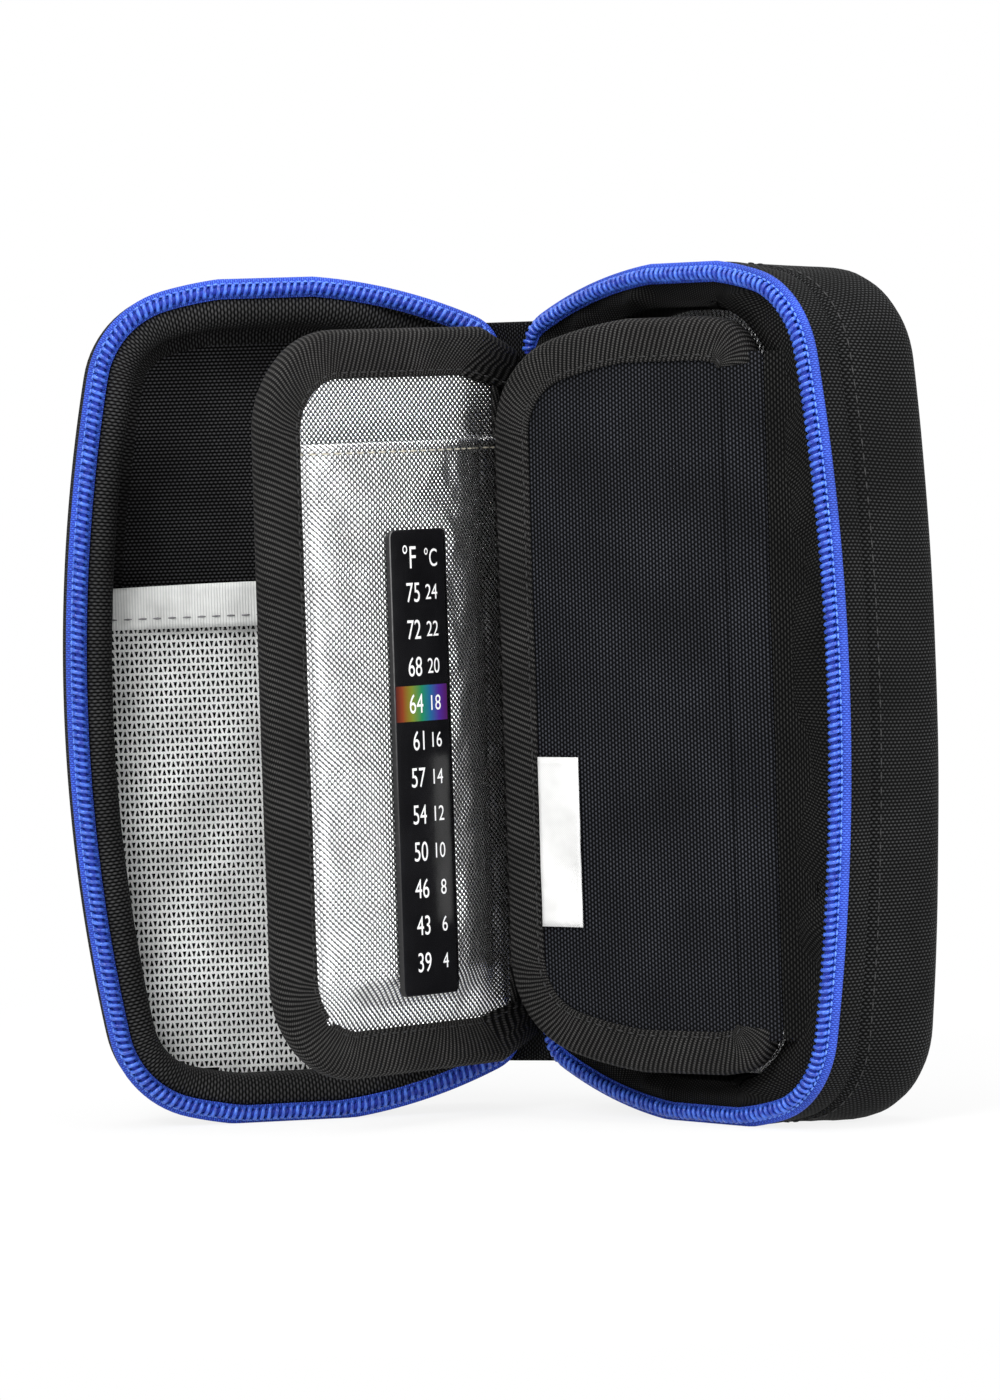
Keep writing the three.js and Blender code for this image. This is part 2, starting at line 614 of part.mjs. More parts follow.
function makePage() {
  const page = new THREE.Group();
  const skins = { upper: 'page_back_cover', lower: 'page_foil_face' };
  makeLeaf(page, 'page', PAGE, { left: PAGE.left }, PAGE_CORE, ROOT_TO_ROOT, skins);
  const inner = PIPING_RADIUS + GAP;
  const tape = new THREE.BoxGeometry(PAGE_ROOT_U - GAP - inner, HINGE_TAPE_HEIGHT, HINGE_TAPE);
  add(page, 'page_hinge_tape', tape, BLACK).position.x = (PAGE_ROOT_U - GAP + inner) / 2;
  const width = [POCKET_LEFT_U, POCKET_RIGHT_U];
  const near = (u, v) => POCKET_BASE + pocketRise(u, v);
  const far = (u, v) => near(u, v) + POCKET_SHELL;
  const hem = POCKET_MOUTH_V + GAP;
  const span = [POCKET_FOOT_V, POCKET_MOUTH_V];
  add(page, 'page_pocket', patch(width, span, PILLOW_STEPS, PILLOW_LINES, near, far), SILVER);
  add(page, 'pocket_hem', patch(width, [hem, hem + HEM_HEIGHT], PILLOW_STEPS, 1, near, far), SILVER);
  const packFoot = POCKET_FOOT_V + PACK_FOOT_MARGIN;
  const packTop = POCKET_MOUTH_V - PACK_TOP_MARGIN;
  const packMiddle = (packFoot + packTop) / 2;
  const packHalf = (packTop - packFoot) / 2;
  const packRise = (u, v) => {
    const crown = 1 - PACK_TAPER * Math.abs((v - packMiddle) / packHalf) ** PACK_FULLNESS;
    return PACK_BASE + (POCKET_BASE + pocketRise(u, v) - GAP - PACK_BASE) * crown;
  };
  const packWidth = [POCKET_LEFT_U + PACK_MARGIN, POCKET_RIGHT_U - PACK_MARGIN];
  const packSpan = [packFoot, packTop];
  const packBase = () => PACK_BASE;
  add(page, 'gel_pack', patch(packWidth, packSpan, PILLOW_STEPS, PILLOW_LINES, packBase, packRise), GEL);
  // The card is stiff: it stays straight where the pocket falls away under its foot
  const card = (u, v) => far(u, Math.max(v, POCKET_FOOT_V + POCKET_RAMP)) + GAP;
  const stripCentre = (POCKET_LEFT_U + POCKET_RIGHT_U) / 2;
  const stripWidth = [stripCentre - STRIP_WIDTH / 2, stripCentre + STRIP_WIDTH / 2];
  const stripFoot = POCKET_FOOT_V + STRIP_FOOT_MARGIN;
  const stripSpan = [stripFoot, stripFoot + STRIP_LENGTH];
  const cardFace = (u, v) => card(u, v) + STRIP_THICKNESS;
  const strip = patch(stripWidth, stripSpan, STRIP_STEPS, PILLOW_LINES, card, cardFace);
  add(page, 'thermometer_strip', strip, CARD);
  page.rotation.y = -radians(PAGE_ANGLE);
  return page;
}

// Flap: hinged on its piping beside the free side of the compartment, its tip lifted
const FLAP = {
  left: FLAP_TIP_U,
  right: FLAP_AXIS_U - FLAP_PIPING_RADIUS - GAP,
  half: FLAP_HEIGHT / 2,
  apex: OUTER.apex,
  leftArch: BODY_POCKET.leftArch,
  rightArch: BODY_POCKET.rightArch,
  side: STRAIGHT_RADIUS,
  leftCorner: FLAP_TIP_CORNER,
  rightCorner: FLAP_HINGE_CORNER,
  foot: FOOT_DEPTH,
};

function makeFlap() {
  const hinge = new THREE.Group();
  const leaf = new THREE.Group();
  const skins = { upper: 'flap_cover', lower: 'flap_foil' };
  makeLeaf(leaf, 'flap', FLAP, { right: FLAP.right }, FLAP_CORE, ROUND_THE_TIP, skins);
  const label = new THREE.BoxGeometry(LABEL_WIDTH, LABEL_HEIGHT, LABEL_THICKNESS);
  const labelTop = FLAP_CORE / 2 + GAP + SKIN + GAP + LABEL_THICKNESS / 2;
  const labelU = FLAP_TIP_U + BINDING_WIDTH + GAP + LABEL_WIDTH / 2;
  add(leaf, 'label_tab', label, WHITE).position.set(labelU, LABEL_CENTRE_V, labelTop);
  const length = 2 * rightCorner(FLAP).y;
  const piping = new THREE.CylinderGeometry(FLAP_PIPING_RADIUS, FLAP_PIPING_RADIUS, length, PIPING_SIDES);
  add(leaf, 'flap_hinge_piping', piping, BLACK).position.x = FLAP_AXIS_U;
  leaf.position.x = -FLAP_AXIS_U;
  hinge.add(leaf);
  hinge.position.set(FLAP_AXIS_U, 0, FLAP_AXIS_W);
  hinge.rotation.y = radians(FLAP_LIFT);
  return hinge;
}

// The book is drawn with its spine along y and stood up; its lowest point rests on z = 0
const book = new THREE.Group();
book.add(makeBody(), makeLid(), makePage(), makeFlap());
book.rotation.x = Math.PI / 2;
const coolingCase = new THREE.Group();
coolingCase.add(book);
const box = new THREE.Box3().setFromObject(coolingCase, true);
const middle = box.getCenter(new THREE.Vector3());
coolingCase.position.set(-middle.x, -middle.y, -box.min.z);
coolingCase.updateMatrixWorld(true);

export default coolingCase;
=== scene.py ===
# %% [markdown]
# # An insulin cooling case
# A soft zip case that opens like a book and stands on its lower edge.
# The right half is a padded compartment under a flap, the left half a shallow lid with a net pocket.
# Between them turns a foil page with a gel pack and a thermometer strip.
# The CAD frame gives every place and hinge, and this script dresses it in cloth, foil, net and thread.

import json
import math
from dataclasses import dataclass, replace

import bmesh
import bpy
from mathutils import Matrix, Vector, noise


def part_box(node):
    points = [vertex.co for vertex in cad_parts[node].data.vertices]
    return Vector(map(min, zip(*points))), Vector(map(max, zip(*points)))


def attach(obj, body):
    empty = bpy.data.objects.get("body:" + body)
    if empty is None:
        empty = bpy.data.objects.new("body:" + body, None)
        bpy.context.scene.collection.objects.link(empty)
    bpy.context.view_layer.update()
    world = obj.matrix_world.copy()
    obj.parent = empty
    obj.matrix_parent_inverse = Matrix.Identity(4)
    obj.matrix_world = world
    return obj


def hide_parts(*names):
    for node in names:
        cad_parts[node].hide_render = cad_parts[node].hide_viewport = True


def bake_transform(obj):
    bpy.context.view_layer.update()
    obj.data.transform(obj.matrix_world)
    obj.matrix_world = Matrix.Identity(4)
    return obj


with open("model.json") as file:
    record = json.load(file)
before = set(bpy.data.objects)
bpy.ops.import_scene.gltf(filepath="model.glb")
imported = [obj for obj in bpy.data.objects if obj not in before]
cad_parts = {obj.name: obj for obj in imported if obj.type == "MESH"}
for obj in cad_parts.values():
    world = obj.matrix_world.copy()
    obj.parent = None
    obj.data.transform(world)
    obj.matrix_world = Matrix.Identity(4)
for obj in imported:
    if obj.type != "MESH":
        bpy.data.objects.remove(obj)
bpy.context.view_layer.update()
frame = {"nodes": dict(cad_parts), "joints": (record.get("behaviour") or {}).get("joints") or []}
print("CAD nodes:", len(frame["nodes"]))

# %% [markdown]
# ## Local frames
# Every piece of the case is flat work: cut, sewn and then swung into place.
# So each one is drawn in millimetres on its own sheet, u from the spine, v up and w out of the sheet,
# and a matrix carries it to the row frame. The hinge places come from the joints of the record.

# %% Matrices of the four leaves
MM = 0.001
LID_ANGLE = 121
PAGE_ANGLE = 88
FLAP_LIFT = 14
joints = {joint["name"]: joint for joint in frame["joints"]}
spine = Vector(joints["lid_hinge"]["pos_m"])
flap_axis = Vector(joints["flap_hinge"]["pos_m"])
wall_low, wall_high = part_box("body_side_wall")
mid_height = (wall_low.z + wall_high.z) / 2

BODY_AT = Matrix(
    (
        (MM, 0, 0, spine.x),
        (0, 0, -MM, spine.y),
        (0, MM, 0, mid_height),
        (0, 0, 0, 1),
    )
)
FLAP_U = (flap_axis.x - spine.x) / MM
FLAP_W = (spine.y - flap_axis.y) / MM
LID_AT = BODY_AT @ Matrix.Rotation(math.radians(180 - LID_ANGLE), 4, "Y") @ Matrix.Scale(-1, 4, (1, 0, 0))
PAGE_AT = BODY_AT @ Matrix.Rotation(-math.radians(PAGE_ANGLE), 4, "Y")
flap_turn = Matrix.Rotation(math.radians(FLAP_LIFT), 4, "Y")
FLAP_AT = BODY_AT @ Matrix.Translation((FLAP_U, 0, FLAP_W)) @ flap_turn @ Matrix.Translation((-FLAP_U, 0, 0))
print("flap axis at u, w:", round(FLAP_U, 2), round(FLAP_W, 2))

# %% [markdown]
# ## The panel outline
# Both halves, the flap and the page are cut to one family of outlines:
# a straight side at the hinge, two arches that meet at an apex, a curved free side and rounded corners.
# A dataclass keeps the numbers together, and an inset gives the seam lines inside the cut.
# The padded back is a little squarer than the zip line, so it has an outline of its own.

# %% Panels and their outlines
LEAST_CORNER = 1.5
STRAIGHT = 20000
SIDE_STEPS = 30
CORNER_STEPS = 14
FREE_STEPS = 14
SPINE_STEPS = 20
ROOT_STEPS = 8
STRAIGHT_STEPS = 64


@dataclass
class Panel:
    left: float
    right: float
    half: float
    apex: float
    left_arch: float
    right_arch: float
    side: float
    left_corner: float
    right_corner: float
    foot: float

    def inside(self, inset, left_inset=None):
        left_inset = inset if left_inset is None else left_inset
        return replace(
            self,
            left=self.left + left_inset,
            right=self.right - inset,
            half=self.half - inset,
            left_arch=self.left_arch - inset,
            right_arch=self.right_arch - inset,
            side=self.side - inset,
            left_corner=max(self.left_corner - left_inset, LEAST_CORNER),
            right_corner=max(self.right_corner - inset, LEAST_CORNER),
        )

    def root_corner(self):
        x = self.left + self.left_corner
        reach = self.left_arch - self.left_corner
        y = self.half - self.left_arch + math.sqrt(reach**2 - (self.apex - x) ** 2)
        return x, y, math.atan2(y - self.half + self.left_arch, x - self.apex)

    def free_corner(self):
        a = Vector((self.right - self.side, 0))
        b = Vector((self.apex, self.half - self.right_arch))
        reach_a = self.side - self.right_corner
        reach_b = self.right_arch - self.right_corner
        span = (b - a).length
        along = (reach_a**2 - reach_b**2 + span**2) / (2 * span)
        across = math.sqrt(reach_a**2 - along**2)
        step = (b - a) / span
        centre = a + step * along + Vector((-step.y, step.x)) * across
        arch_angle = math.atan2(centre.y - b.y, centre.x - b.x)
        side_angle = math.atan2(centre.y, centre.x - a.x)
        return centre.x, centre.y, arch_angle, side_angle


def arc(x, y, radius, start, end, steps):
    turns = [start + (end - start) * i / steps for i in range(steps + 1)]
    return [(x + radius * math.cos(t), y + radius * math.sin(t)) for t in turns]


def outline(panel, inset=0.0):
    p = panel.inside(inset)
    lx, ly, l_angle = p.root_corner()
    rx, ry, r_angle, side_angle = p.free_corner()
    foot_left = math.pi / 2 + math.acos(1 - p.foot / p.left_arch)
    foot_right = math.pi / 2 - math.acos(1 - p.foot / p.right_arch)
    upper = arc(p.right - p.side, 0, p.side, 0, side_angle, SIDE_STEPS)[:-1]
    upper += arc(rx, ry, p.right_corner, side_angle, r_angle, CORNER_STEPS)[:-1]
    upper += arc(p.apex, p.half - p.right_arch, p.right_arch, r_angle, foot_right, FREE_STEPS)
    upper += arc(p.apex, p.half - p.left_arch, p.left_arch, foot_left, l_angle, SPINE_STEPS)[:-1]
    upper += arc(lx, ly, p.left_corner, l_angle, math.pi, ROOT_STEPS)
    lower = [(x, -y) for x, y in reversed(upper[1:])]
    top_x, top_y = upper[-1]
    falls = [1 - 2 * i / STRAIGHT_STEPS for i in range(1, STRAIGHT_STEPS)]
    return lower + upper + [(top_x, top_y * fall) for fall in falls]


HALF_COUNT = SIDE_STEPS + CORNER_STEPS + FREE_STEPS + SPINE_STEPS + ROOT_STEPS + 2
ROUND = slice(0, 2 * HALF_COUNT - 1)
TIP_END = SPINE_STEPS + ROOT_STEPS + FREE_STEPS + CORNER_STEPS + 1


def ring(panel, inset, w, stops=slice(None)):
    return [Vector((x, y, w)) for x, y in outline(panel, inset)[stops]]


def tip_ring(panel, inset, w):
    points = ring(panel, inset, w)
    count = len(points)
    start = 2 * HALF_COUNT - 1 - TIP_END
    return [points[i % count] for i in range(start, count + TIP_END)]


CASE = Panel(
    left=2.3,
    right=111.3,
    half=103.5,
    apex=60.3,
    left_arch=125,
    right_arch=100,
    side=427,
    left_corner=10,
    right_corner=25,
    foot=0.6,
)
BACK = replace(CASE, right=110.8, half=102.4, right_arch=700, side=680, right_corner=25, foot=0.1)
print("points round the case:", len(outline(CASE)))

# %% [markdown]
# ## Sewing tools
# Cloth, foil and tape are all strips that follow a seam line.
# One loop of vertices is laid along the first line, then extruded edge by edge to each next line,
# so the cloth's threads follow the seam as they do on a real one.
# Lengths along and across the strip become its UV map, in metres, and the weave is drawn on that.

# %% Loft a strip and lay its UV map
WELD = 0.002


def chain(verts, closed):
    return list(zip(verts, verts[1:] + verts[:1])) if closed else list(zip(verts, verts[1:]))


def lengths(points):
    run = [0.0]
    for a, b in zip(points, points[1:]):
        run.append(run[-1] + (b - a).length)
    return run


def loft(rows, closed=True, flat=False, turned=False, capped=False):
    bm = bmesh.new()
    loop = [bm.verts.new(p) for p in rows[0]]
    edges = [bm.edges.new(pair) for pair in chain(loop, closed)]
    place = {vert: (0, j) for j, vert in enumerate(loop)}
    for i, row in enumerate(rows[1:], 1):
        grown = bmesh.ops.extrude_edge_only(bm, edges=edges)["geom"]
        fresh = {item for item in grown if isinstance(item, bmesh.types.BMVert)}
        sides = [[e.other_vert(v) for e in v.link_edges] for v in loop]
        loop = [next(other for other in side if other in fresh) for side in sides]
        for j, (vert, point) in enumerate(zip(loop, row)):
            vert.co = point
            place[vert] = (i, j)
        edges = [bm.edges.get(pair) for pair in chain(loop, closed)]
    if capped:
        bmesh.ops.holes_fill(bm, edges=edges, sides=0)
    widest = max(rows, key=lambda row: lengths(row)[-1])
    along = lengths(widest + widest[:1])
    across = lengths([row[len(row) // 3] for row in rows])
    uv = bm.loops.layers.uv.new("cloth")
    count = len(rows[0])
    for face in bm.faces:
        columns = [place[corner.vert][1] for corner in face.loops]
        wraps = max(columns) - min(columns) > 1
        for corner in face.loops:
            i, j = place[corner.vert]
            turn = count if wraps and j == 0 else j
            point = corner.vert.co * MM
            place_uv = (point.x, point.y) if flat else (along[turn] * MM, across[i] * MM)
            corner[uv].uv = place_uv[::-1] if turned else place_uv
    return bm


def cap(bm):
    edges = [edge for edge in bm.edges if edge.is_boundary]
    bmesh.ops.holes_fill(bm, edges=edges, sides=0)
    uv = bm.loops.layers.uv.active
    for face in bm.faces:
        if len(face.verts) > 4:
            for corner in face.loops:
                corner[uv].uv = (corner.vert.co.x * MM, corner.vert.co.y * MM)


def smooth_step(low, high, x):
    t = min(max((x - low) / (high - low), 0.0), 1.0)
    return t * t * (3 - 2 * t)


def ripple(point, size, amount, seed=0.0):
    return amount * noise.noise(Vector((point.x / size, point.y / size, seed)))


print("length of the case outline:", round(lengths(ring(CASE, 0, 0))[-1]), "mm")


# %% [markdown]
# ## From mesh to piece
# A finished mesh is welded, its faces are turned outwards, and it is carried to the row frame.
# The lid is a mirror image of the body, so there the faces are flipped back.
# An open sheet has no outside of its own, so it is told which way it faces: along w,
# or away from a point inside the case.
# Each piece then rides on its CAD body and stands for the plain solids it replaces.

# %% Make a piece


def tilt(face, around):
    if around:
        return face.normal.dot(face.calc_center_median() - around) * face.calc_area()
    return face.normal.z * face.calc_area()


def piece(bm, name, at, body, material, nodes=(), smooth=True, facing=0, around=None):
    bmesh.ops.remove_doubles(bm, verts=bm.verts, dist=WELD)
    bmesh.ops.recalc_face_normals(bm, faces=bm.faces)
    if facing * sum(tilt(face, around) for face in bm.faces) < 0:
        bmesh.ops.reverse_faces(bm, faces=bm.faces)
    for face in bm.faces:
        face.smooth = smooth
    mesh = bpy.data.meshes.new(name)
    bm.to_mesh(mesh)
    bm.free()
    mesh.transform(at)
    if at.determinant() < 0:
        mesh.flip_normals()
    return dress(mesh, name, body, material, nodes)


def dress(mesh, name, body, material, nodes=()):
    mesh.materials.append(material)
    obj = bpy.data.objects.new(name, mesh)
    bpy.context.scene.collection.objects.link(obj)
    if body:
        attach(obj, body)
    if nodes:
        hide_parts(*nodes)
    return obj


def subdivide(obj, levels=1):
    modifier = obj.modifiers.new("smooth", "SUBSURF")
    modifier.levels = levels
    modifier.render_levels = levels
    return obj


def thicken(obj, thickness, offset=-1.0):
    modifier = obj.modifiers.new("cloth", "SOLIDIFY")
    modifier.thickness = thickness * MM
    modifier.offset = offset
    return obj


def closed_band(rows):
    bm = loft(rows + rows[:1], False)
    bmesh.ops.remove_doubles(bm, verts=bm.verts, dist=WELD)
    cap(bm)
    return bm


def sew(name, points, normals, at, body, material, length=2.4, gap=1.0, thick=0.45):
    bm = bmesh.new()
    uv = bm.loops.layers.uv.new("cloth")
    run = lengths(points)
    count = int(run[-1] / (length + gap))
    k = 0
    for i in range(count):
        middle = (i + 0.5) * run[-1] / count
        while run[k + 1] < middle:
            k += 1
        share = (middle - run[k]) / (run[k + 1] - run[k])
        spot = points[k].lerp(points[k + 1], share)
        ahead = (points[k + 1] - points[k]).normalized()
        up = normals[k]
        side = up.cross(ahead)
        turn = Matrix((ahead, side, up)).transposed().to_4x4()
        size = Matrix.Diagonal((length / 2, thick / 2, thick / 2, 1))
        place = Matrix.Translation(spot) @ turn @ size
        bmesh.ops.create_uvsphere(bm, u_segments=6, v_segments=4, radius=1, matrix=place)
    for face in bm.faces:
        for corner in face.loops:
            corner[uv].uv = (corner.vert.co.x * MM, corner.vert.co.y * MM)
    return piece(bm, name, at, body, material)


print("tools ready")

# %% [markdown]
# ## Shader node groups
# Three effects are shared by many materials, so each is a node group that gives out a height only:
# a plain weave, where warp and weft take turns on top, the cross ribs of grosgrain tape, and soft blotches.
# The shader itself stays in each material. All patterns read the UV map in metres,
# so a thread has its true width on every piece.

# %% Node helpers and the weave group


def calc(tree, operation, *values):
    node = tree.nodes.new("ShaderNodeMath")
    node.operation = operation
    for socket, value in zip(node.inputs, values):
        if isinstance(value, (int, float)):
            socket.default_value = value
        else:
            tree.links.new(value, socket)
    return node.outputs[0]


def new_group(name, inputs, output):
    tree = bpy.data.node_groups.new(name, "ShaderNodeTree")
    for label, kind in inputs:
        tree.interface.new_socket(label, in_out="INPUT", socket_type=kind)
    tree.interface.new_socket(output, in_out="OUTPUT", socket_type="NodeSocketFloat")
    source = tree.nodes.new("NodeGroupInput")
    sink = tree.nodes.new("NodeGroupOutput")
    return tree, source.outputs, sink.inputs


weave_inputs = [("Vector", "NodeSocketVector"), ("Across", "NodeSocketFloat"), ("Along", "NodeSocketFloat")]
weave, given, result = new_group("plain weave", weave_inputs, "Height")
axes = weave.nodes.new("ShaderNodeSeparateXYZ")
weave.links.new(given["Vector"], axes.inputs[0])
weft = calc(weave, "DIVIDE", axes.outputs["X"], given["Across"])
warp = calc(weave, "DIVIDE", axes.outputs["Y"], given["Along"])
thread = calc(weave, "ABSOLUTE", calc(weave, "SINE", calc(weave, "MULTIPLY", weft, math.pi)))
step = calc(weave, "MULTIPLY", calc(weave, "ADD", warp, calc(weave, "FLOOR", weft)), math.pi)
rise = calc(weave, "MULTIPLY_ADD", calc(weave, "COSINE", step), 0.25, 0.75)
weave.links.new(calc(weave, "MULTIPLY", thread, rise), result["Height"])
print("group:", weave.name)

# %% The rib group
rib_inputs = [("Vector", "NodeSocketVector"), ("Pitch", "NodeSocketFloat")]
rib_inputs += [("Thread", "NodeSocketFloat"), ("Share", "NodeSocketFloat")]
ribs, given, result = new_group("cross ribs", rib_inputs, "Height")
axes = ribs.nodes.new("ShaderNodeSeparateXYZ")
ribs.links.new(given["Vector"], axes.inputs[0])
rib_turn = calc(ribs, "MULTIPLY", calc(ribs, "DIVIDE", axes.outputs["X"], given["Pitch"]), math.pi)
rib_round = calc(ribs, "ABSOLUTE", calc(ribs, "SINE", rib_turn))
thread_turn = calc(ribs, "MULTIPLY", calc(ribs, "DIVIDE", axes.outputs["Y"], given["Thread"]), math.pi)
notch = calc(ribs, "SUBTRACT", 1.0, calc(ribs, "ABSOLUTE", calc(ribs, "SINE", thread_turn)))
rest = calc(ribs, "SUBTRACT", 1.0, calc(ribs, "MULTIPLY", notch, given["Share"]))
ribs.links.new(calc(ribs, "MULTIPLY", rib_round, rest), result["Height"])
print("group:", ribs.name)

# %% The blotch group
blotch_inputs = [("Vector", "NodeSocketVector"), ("Scale", "NodeSocketFloat")]
blotches, given, result = new_group("blotches", blotch_inputs, "Height")
cloud = blotches.nodes.new("ShaderNodeTexNoise")
cloud.inputs["Detail"].default_value = 3.0
blotches.links.new(given["Vector"], cloud.inputs["Vector"])
blotches.links.new(given["Scale"], cloud.inputs["Scale"])
blotches.links.new(cloud.outputs[0], result["Height"])
print("group:", blotches.name)

# %% [markdown]
# ## Materials
# Every cloth is a Principled shader whose colour runs from its own dye, darkened by painted shade in the
# thread root, to a painted highlight on the thread crown.
# The pattern's height drives both this colour and the bump, so the painted highlights sit on the raised
# threads.
# A second, broad noise keeps large faces from looking printed.

# %% Start a material


def start_material(name):
    material = bpy.data.materials.new(name)
    material.use_nodes = True
    tree = material.node_tree
    shader = tree.nodes["Principled BSDF"]
    return material, tree, shader


def read_uv(tree, angle=0.0):
    uv = tree.nodes.new("ShaderNodeUVMap")
    uv.uv_map = "cloth"
    if not angle:
        return uv.outputs["UV"]
    turned = tree.nodes.new("ShaderNodeVectorRotate")
    turned.rotation_type = "Z_AXIS"
    turned.inputs["Angle"].default_value = math.radians(angle)
    tree.links.new(uv.outputs["UV"], turned.inputs["Vector"])
    return turned.outputs["Vector"]


def use_group(tree, group, vector, **values):
    node = tree.nodes.new("ShaderNodeGroup")
    node.node_tree = group
    tree.links.new(vector, node.inputs["Vector"])
    for label, value in values.items():
        node.inputs[label].default_value = value
    return node.outputs["Height"]


def ramp(tree, height, stops):
    node = tree.nodes.new("ShaderNodeValToRGB")
    points = node.color_ramp.elements
    while len(points) < len(stops):
        points.new(0.5)
    for point, (position, colour) in zip(points, stops):
        point.position = position
        point.color = (*colour, 1)
    tree.links.new(height, node.inputs[0])
    return node.outputs["Color"]


def shade(tree, colour, height, low, high):
    tone = tree.nodes.new("ShaderNodeMapRange")
    tone.inputs["From Min"].default_value = 0.3
    tone.inputs["From Max"].default_value = 0.7
    tone.inputs["To Min"].default_value = low
    tone.inputs["To Max"].default_value = high
    tree.links.new(height, tone.inputs["Value"])
    mix = tree.nodes.new("ShaderNodeMix")
    mix.data_type = "RGBA"
    mix.blend_type = "MULTIPLY"
    mix.inputs["Factor"].default_value = 1.0
    tree.links.new(colour, mix.inputs["A"])
    tree.links.new(tone.outputs[0], mix.inputs["B"])
    return mix.outputs["Result"]


def bump(tree, height, distance, strength=1.0, below=None):
    node = tree.nodes.new("ShaderNodeBump")
    node.inputs["Distance"].default_value = distance * MM
    node.inputs["Strength"].default_value = strength
    tree.links.new(height, node.inputs["Height"])
    if below:
        tree.links.new(below, node.inputs["Normal"])
    return node.outputs["Normal"]


def object_point(tree):
    return tree.nodes.new("ShaderNodeTexCoord").outputs["Object"]


print("node groups:", [group.name for group in bpy.data.node_groups])


# %% Woven and ribbed cloths


def woven(name, dark, light, across, along, roughness=0.8, depth=0.12, gloss=0.08, start=0.3):
    material, tree, shader = start_material(name)
    height = use_group(tree, weave, read_uv(tree), Across=across * MM, Along=along * MM)
    cloud = use_group(tree, blotches, object_point(tree), Scale=60.0)
    # The ramp paints shade into the thread roots and a highlight on the thread crowns.
    colour = shade(tree, ramp(tree, height, [(start, dark), (0.95, light)]), cloud, 0.75, 1.2)
    tree.links.new(colour, shader.inputs["Base Color"])
    tree.links.new(bump(tree, height, depth), shader.inputs["Normal"])
    shader.inputs["Roughness"].default_value = roughness
    shader.inputs["Specular IOR Level"].default_value = gloss
    return material


def ribbed(name, dark, light, pitch, roughness=0.75, depth=0.15, start=0.2, lean=0):
    material, tree, shader = start_material(name)
    height = use_group(tree, ribs, read_uv(tree, lean), Pitch=pitch * MM, Thread=pitch / 2.3 * MM, Share=0.5)
    cloud = use_group(tree, blotches, object_point(tree), Scale=80.0)
    # The ramp paints shade between the ribs and a highlight on the rib crowns.
    colour = shade(tree, ramp(tree, height, [(start, dark), (1.0, light)]), cloud, 0.75, 1.2)
    tree.links.new(colour, shader.inputs["Base Color"])
    tree.links.new(bump(tree, height, depth), shader.inputs["Normal"])
    shader.inputs["Roughness"].default_value = roughness
    shader.inputs["Specular IOR Level"].default_value = 0.12
    return material


# The cloth's near-black, deepened by painted shade for the thread roots. Each cloth's lighter colour below
# is a painted highlight on its crowns.
SHADED_THREAD_ROOT = (0.0006, 0.0006, 0.0006)
OXFORD = woven("oxford cloth", SHADED_THREAD_ROOT, (0.042, 0.043, 0.044), 0.81, 0.64, start=0.5)
LIP_CLOTH = woven("lip cloth", SHADED_THREAD_ROOT, (0.032, 0.032, 0.031), 0.81, 0.7, start=0.5)
FLAP_CLOTH = woven("flap cloth", (0.0009, 0.001, 0.0016), (0.054, 0.057, 0.068), 0.94, 0.55, start=0.5)
# The two lining cloths are the same black oxford as the outside. Their brighter painted highlights lighten
# the shaded inside of the lid.
LINING_ROLL = woven("lining roll cloth", SHADED_THREAD_ROOT, (0.06, 0.06, 0.061), 0.85, 0.8, start=0.35)
LINING_CLOTH = woven("lining cloth", SHADED_THREAD_ROOT, (0.085, 0.085, 0.09), 0.86, 0.53, start=0.45)
GROSGRAIN = ribbed(
    "grosgrain tape", (0.0008, 0.0008, 0.0008), (0.068, 0.066, 0.064), 1.3, depth=0.2, start=0.5, lean=-20
)
TAPE_BLUE = woven("zip tape", (0.012, 0.03, 0.3), (0.06, 0.16, 0.8), 0.55, 0.6, 0.7, 0.08, 0.3)
ELASTIC = ribbed("elastic band", (0.68, 0.69, 0.68), (0.9, 0.91, 0.89), 0.7, 0.8, 0.1)
NET_YARN = woven("net yarn", (0.72, 0.73, 0.72), (0.95, 0.955, 0.94), 0.35, 0.35, 0.75, 0.05, 0.3)
LABEL_CLOTH = woven("label tape", (0.72, 0.72, 0.71), (0.86, 0.86, 0.85), 0.3, 0.3, 0.7, 0.03, 0.3)
PIPING_CLOTH = woven("piping cloth", SHADED_THREAD_ROOT, (0.04, 0.04, 0.04), 0.7, 0.7)
print("cloths:", len(bpy.data.materials))

# %% [markdown]
# ### Foil, nylon, print and metal
# The foil is aluminised film pressed on a woven cloth: a metal with a diamond emboss and broad dents.
# A smooth metal would mirror the lamps as blots, so the emboss goes into the bump, and into the colour as
# painted shade in its hollows.
# The coil is glossy nylon, the strip a glossy card, and the threads are matt.

# %% Foil, coil and card
EMBOSS = 1.05
FOIL, tree, shader = start_material("silver foil")
height = use_group(tree, ribs, read_uv(tree, 45), Pitch=EMBOSS * MM, Thread=EMBOSS * MM, Share=0.75)
dents = use_group(tree, blotches, object_point(tree), Scale=45.0)
# Painted shade: the foil's colour falls almost to black in the emboss hollows.
colour = ramp(tree, height, [(0.1, (0.03, 0.03, 0.032)), (0.5, (0.97, 0.975, 0.98))])
tree.links.new(colour, shader.inputs["Base Color"])
soft = bump(tree, dents, 1.6, 0.5)
tree.links.new(bump(tree, height, 0.28, 0.9, soft), shader.inputs["Normal"])
shader.inputs["Metallic"].default_value = 0.95
shader.inputs["Roughness"].default_value = 0.24

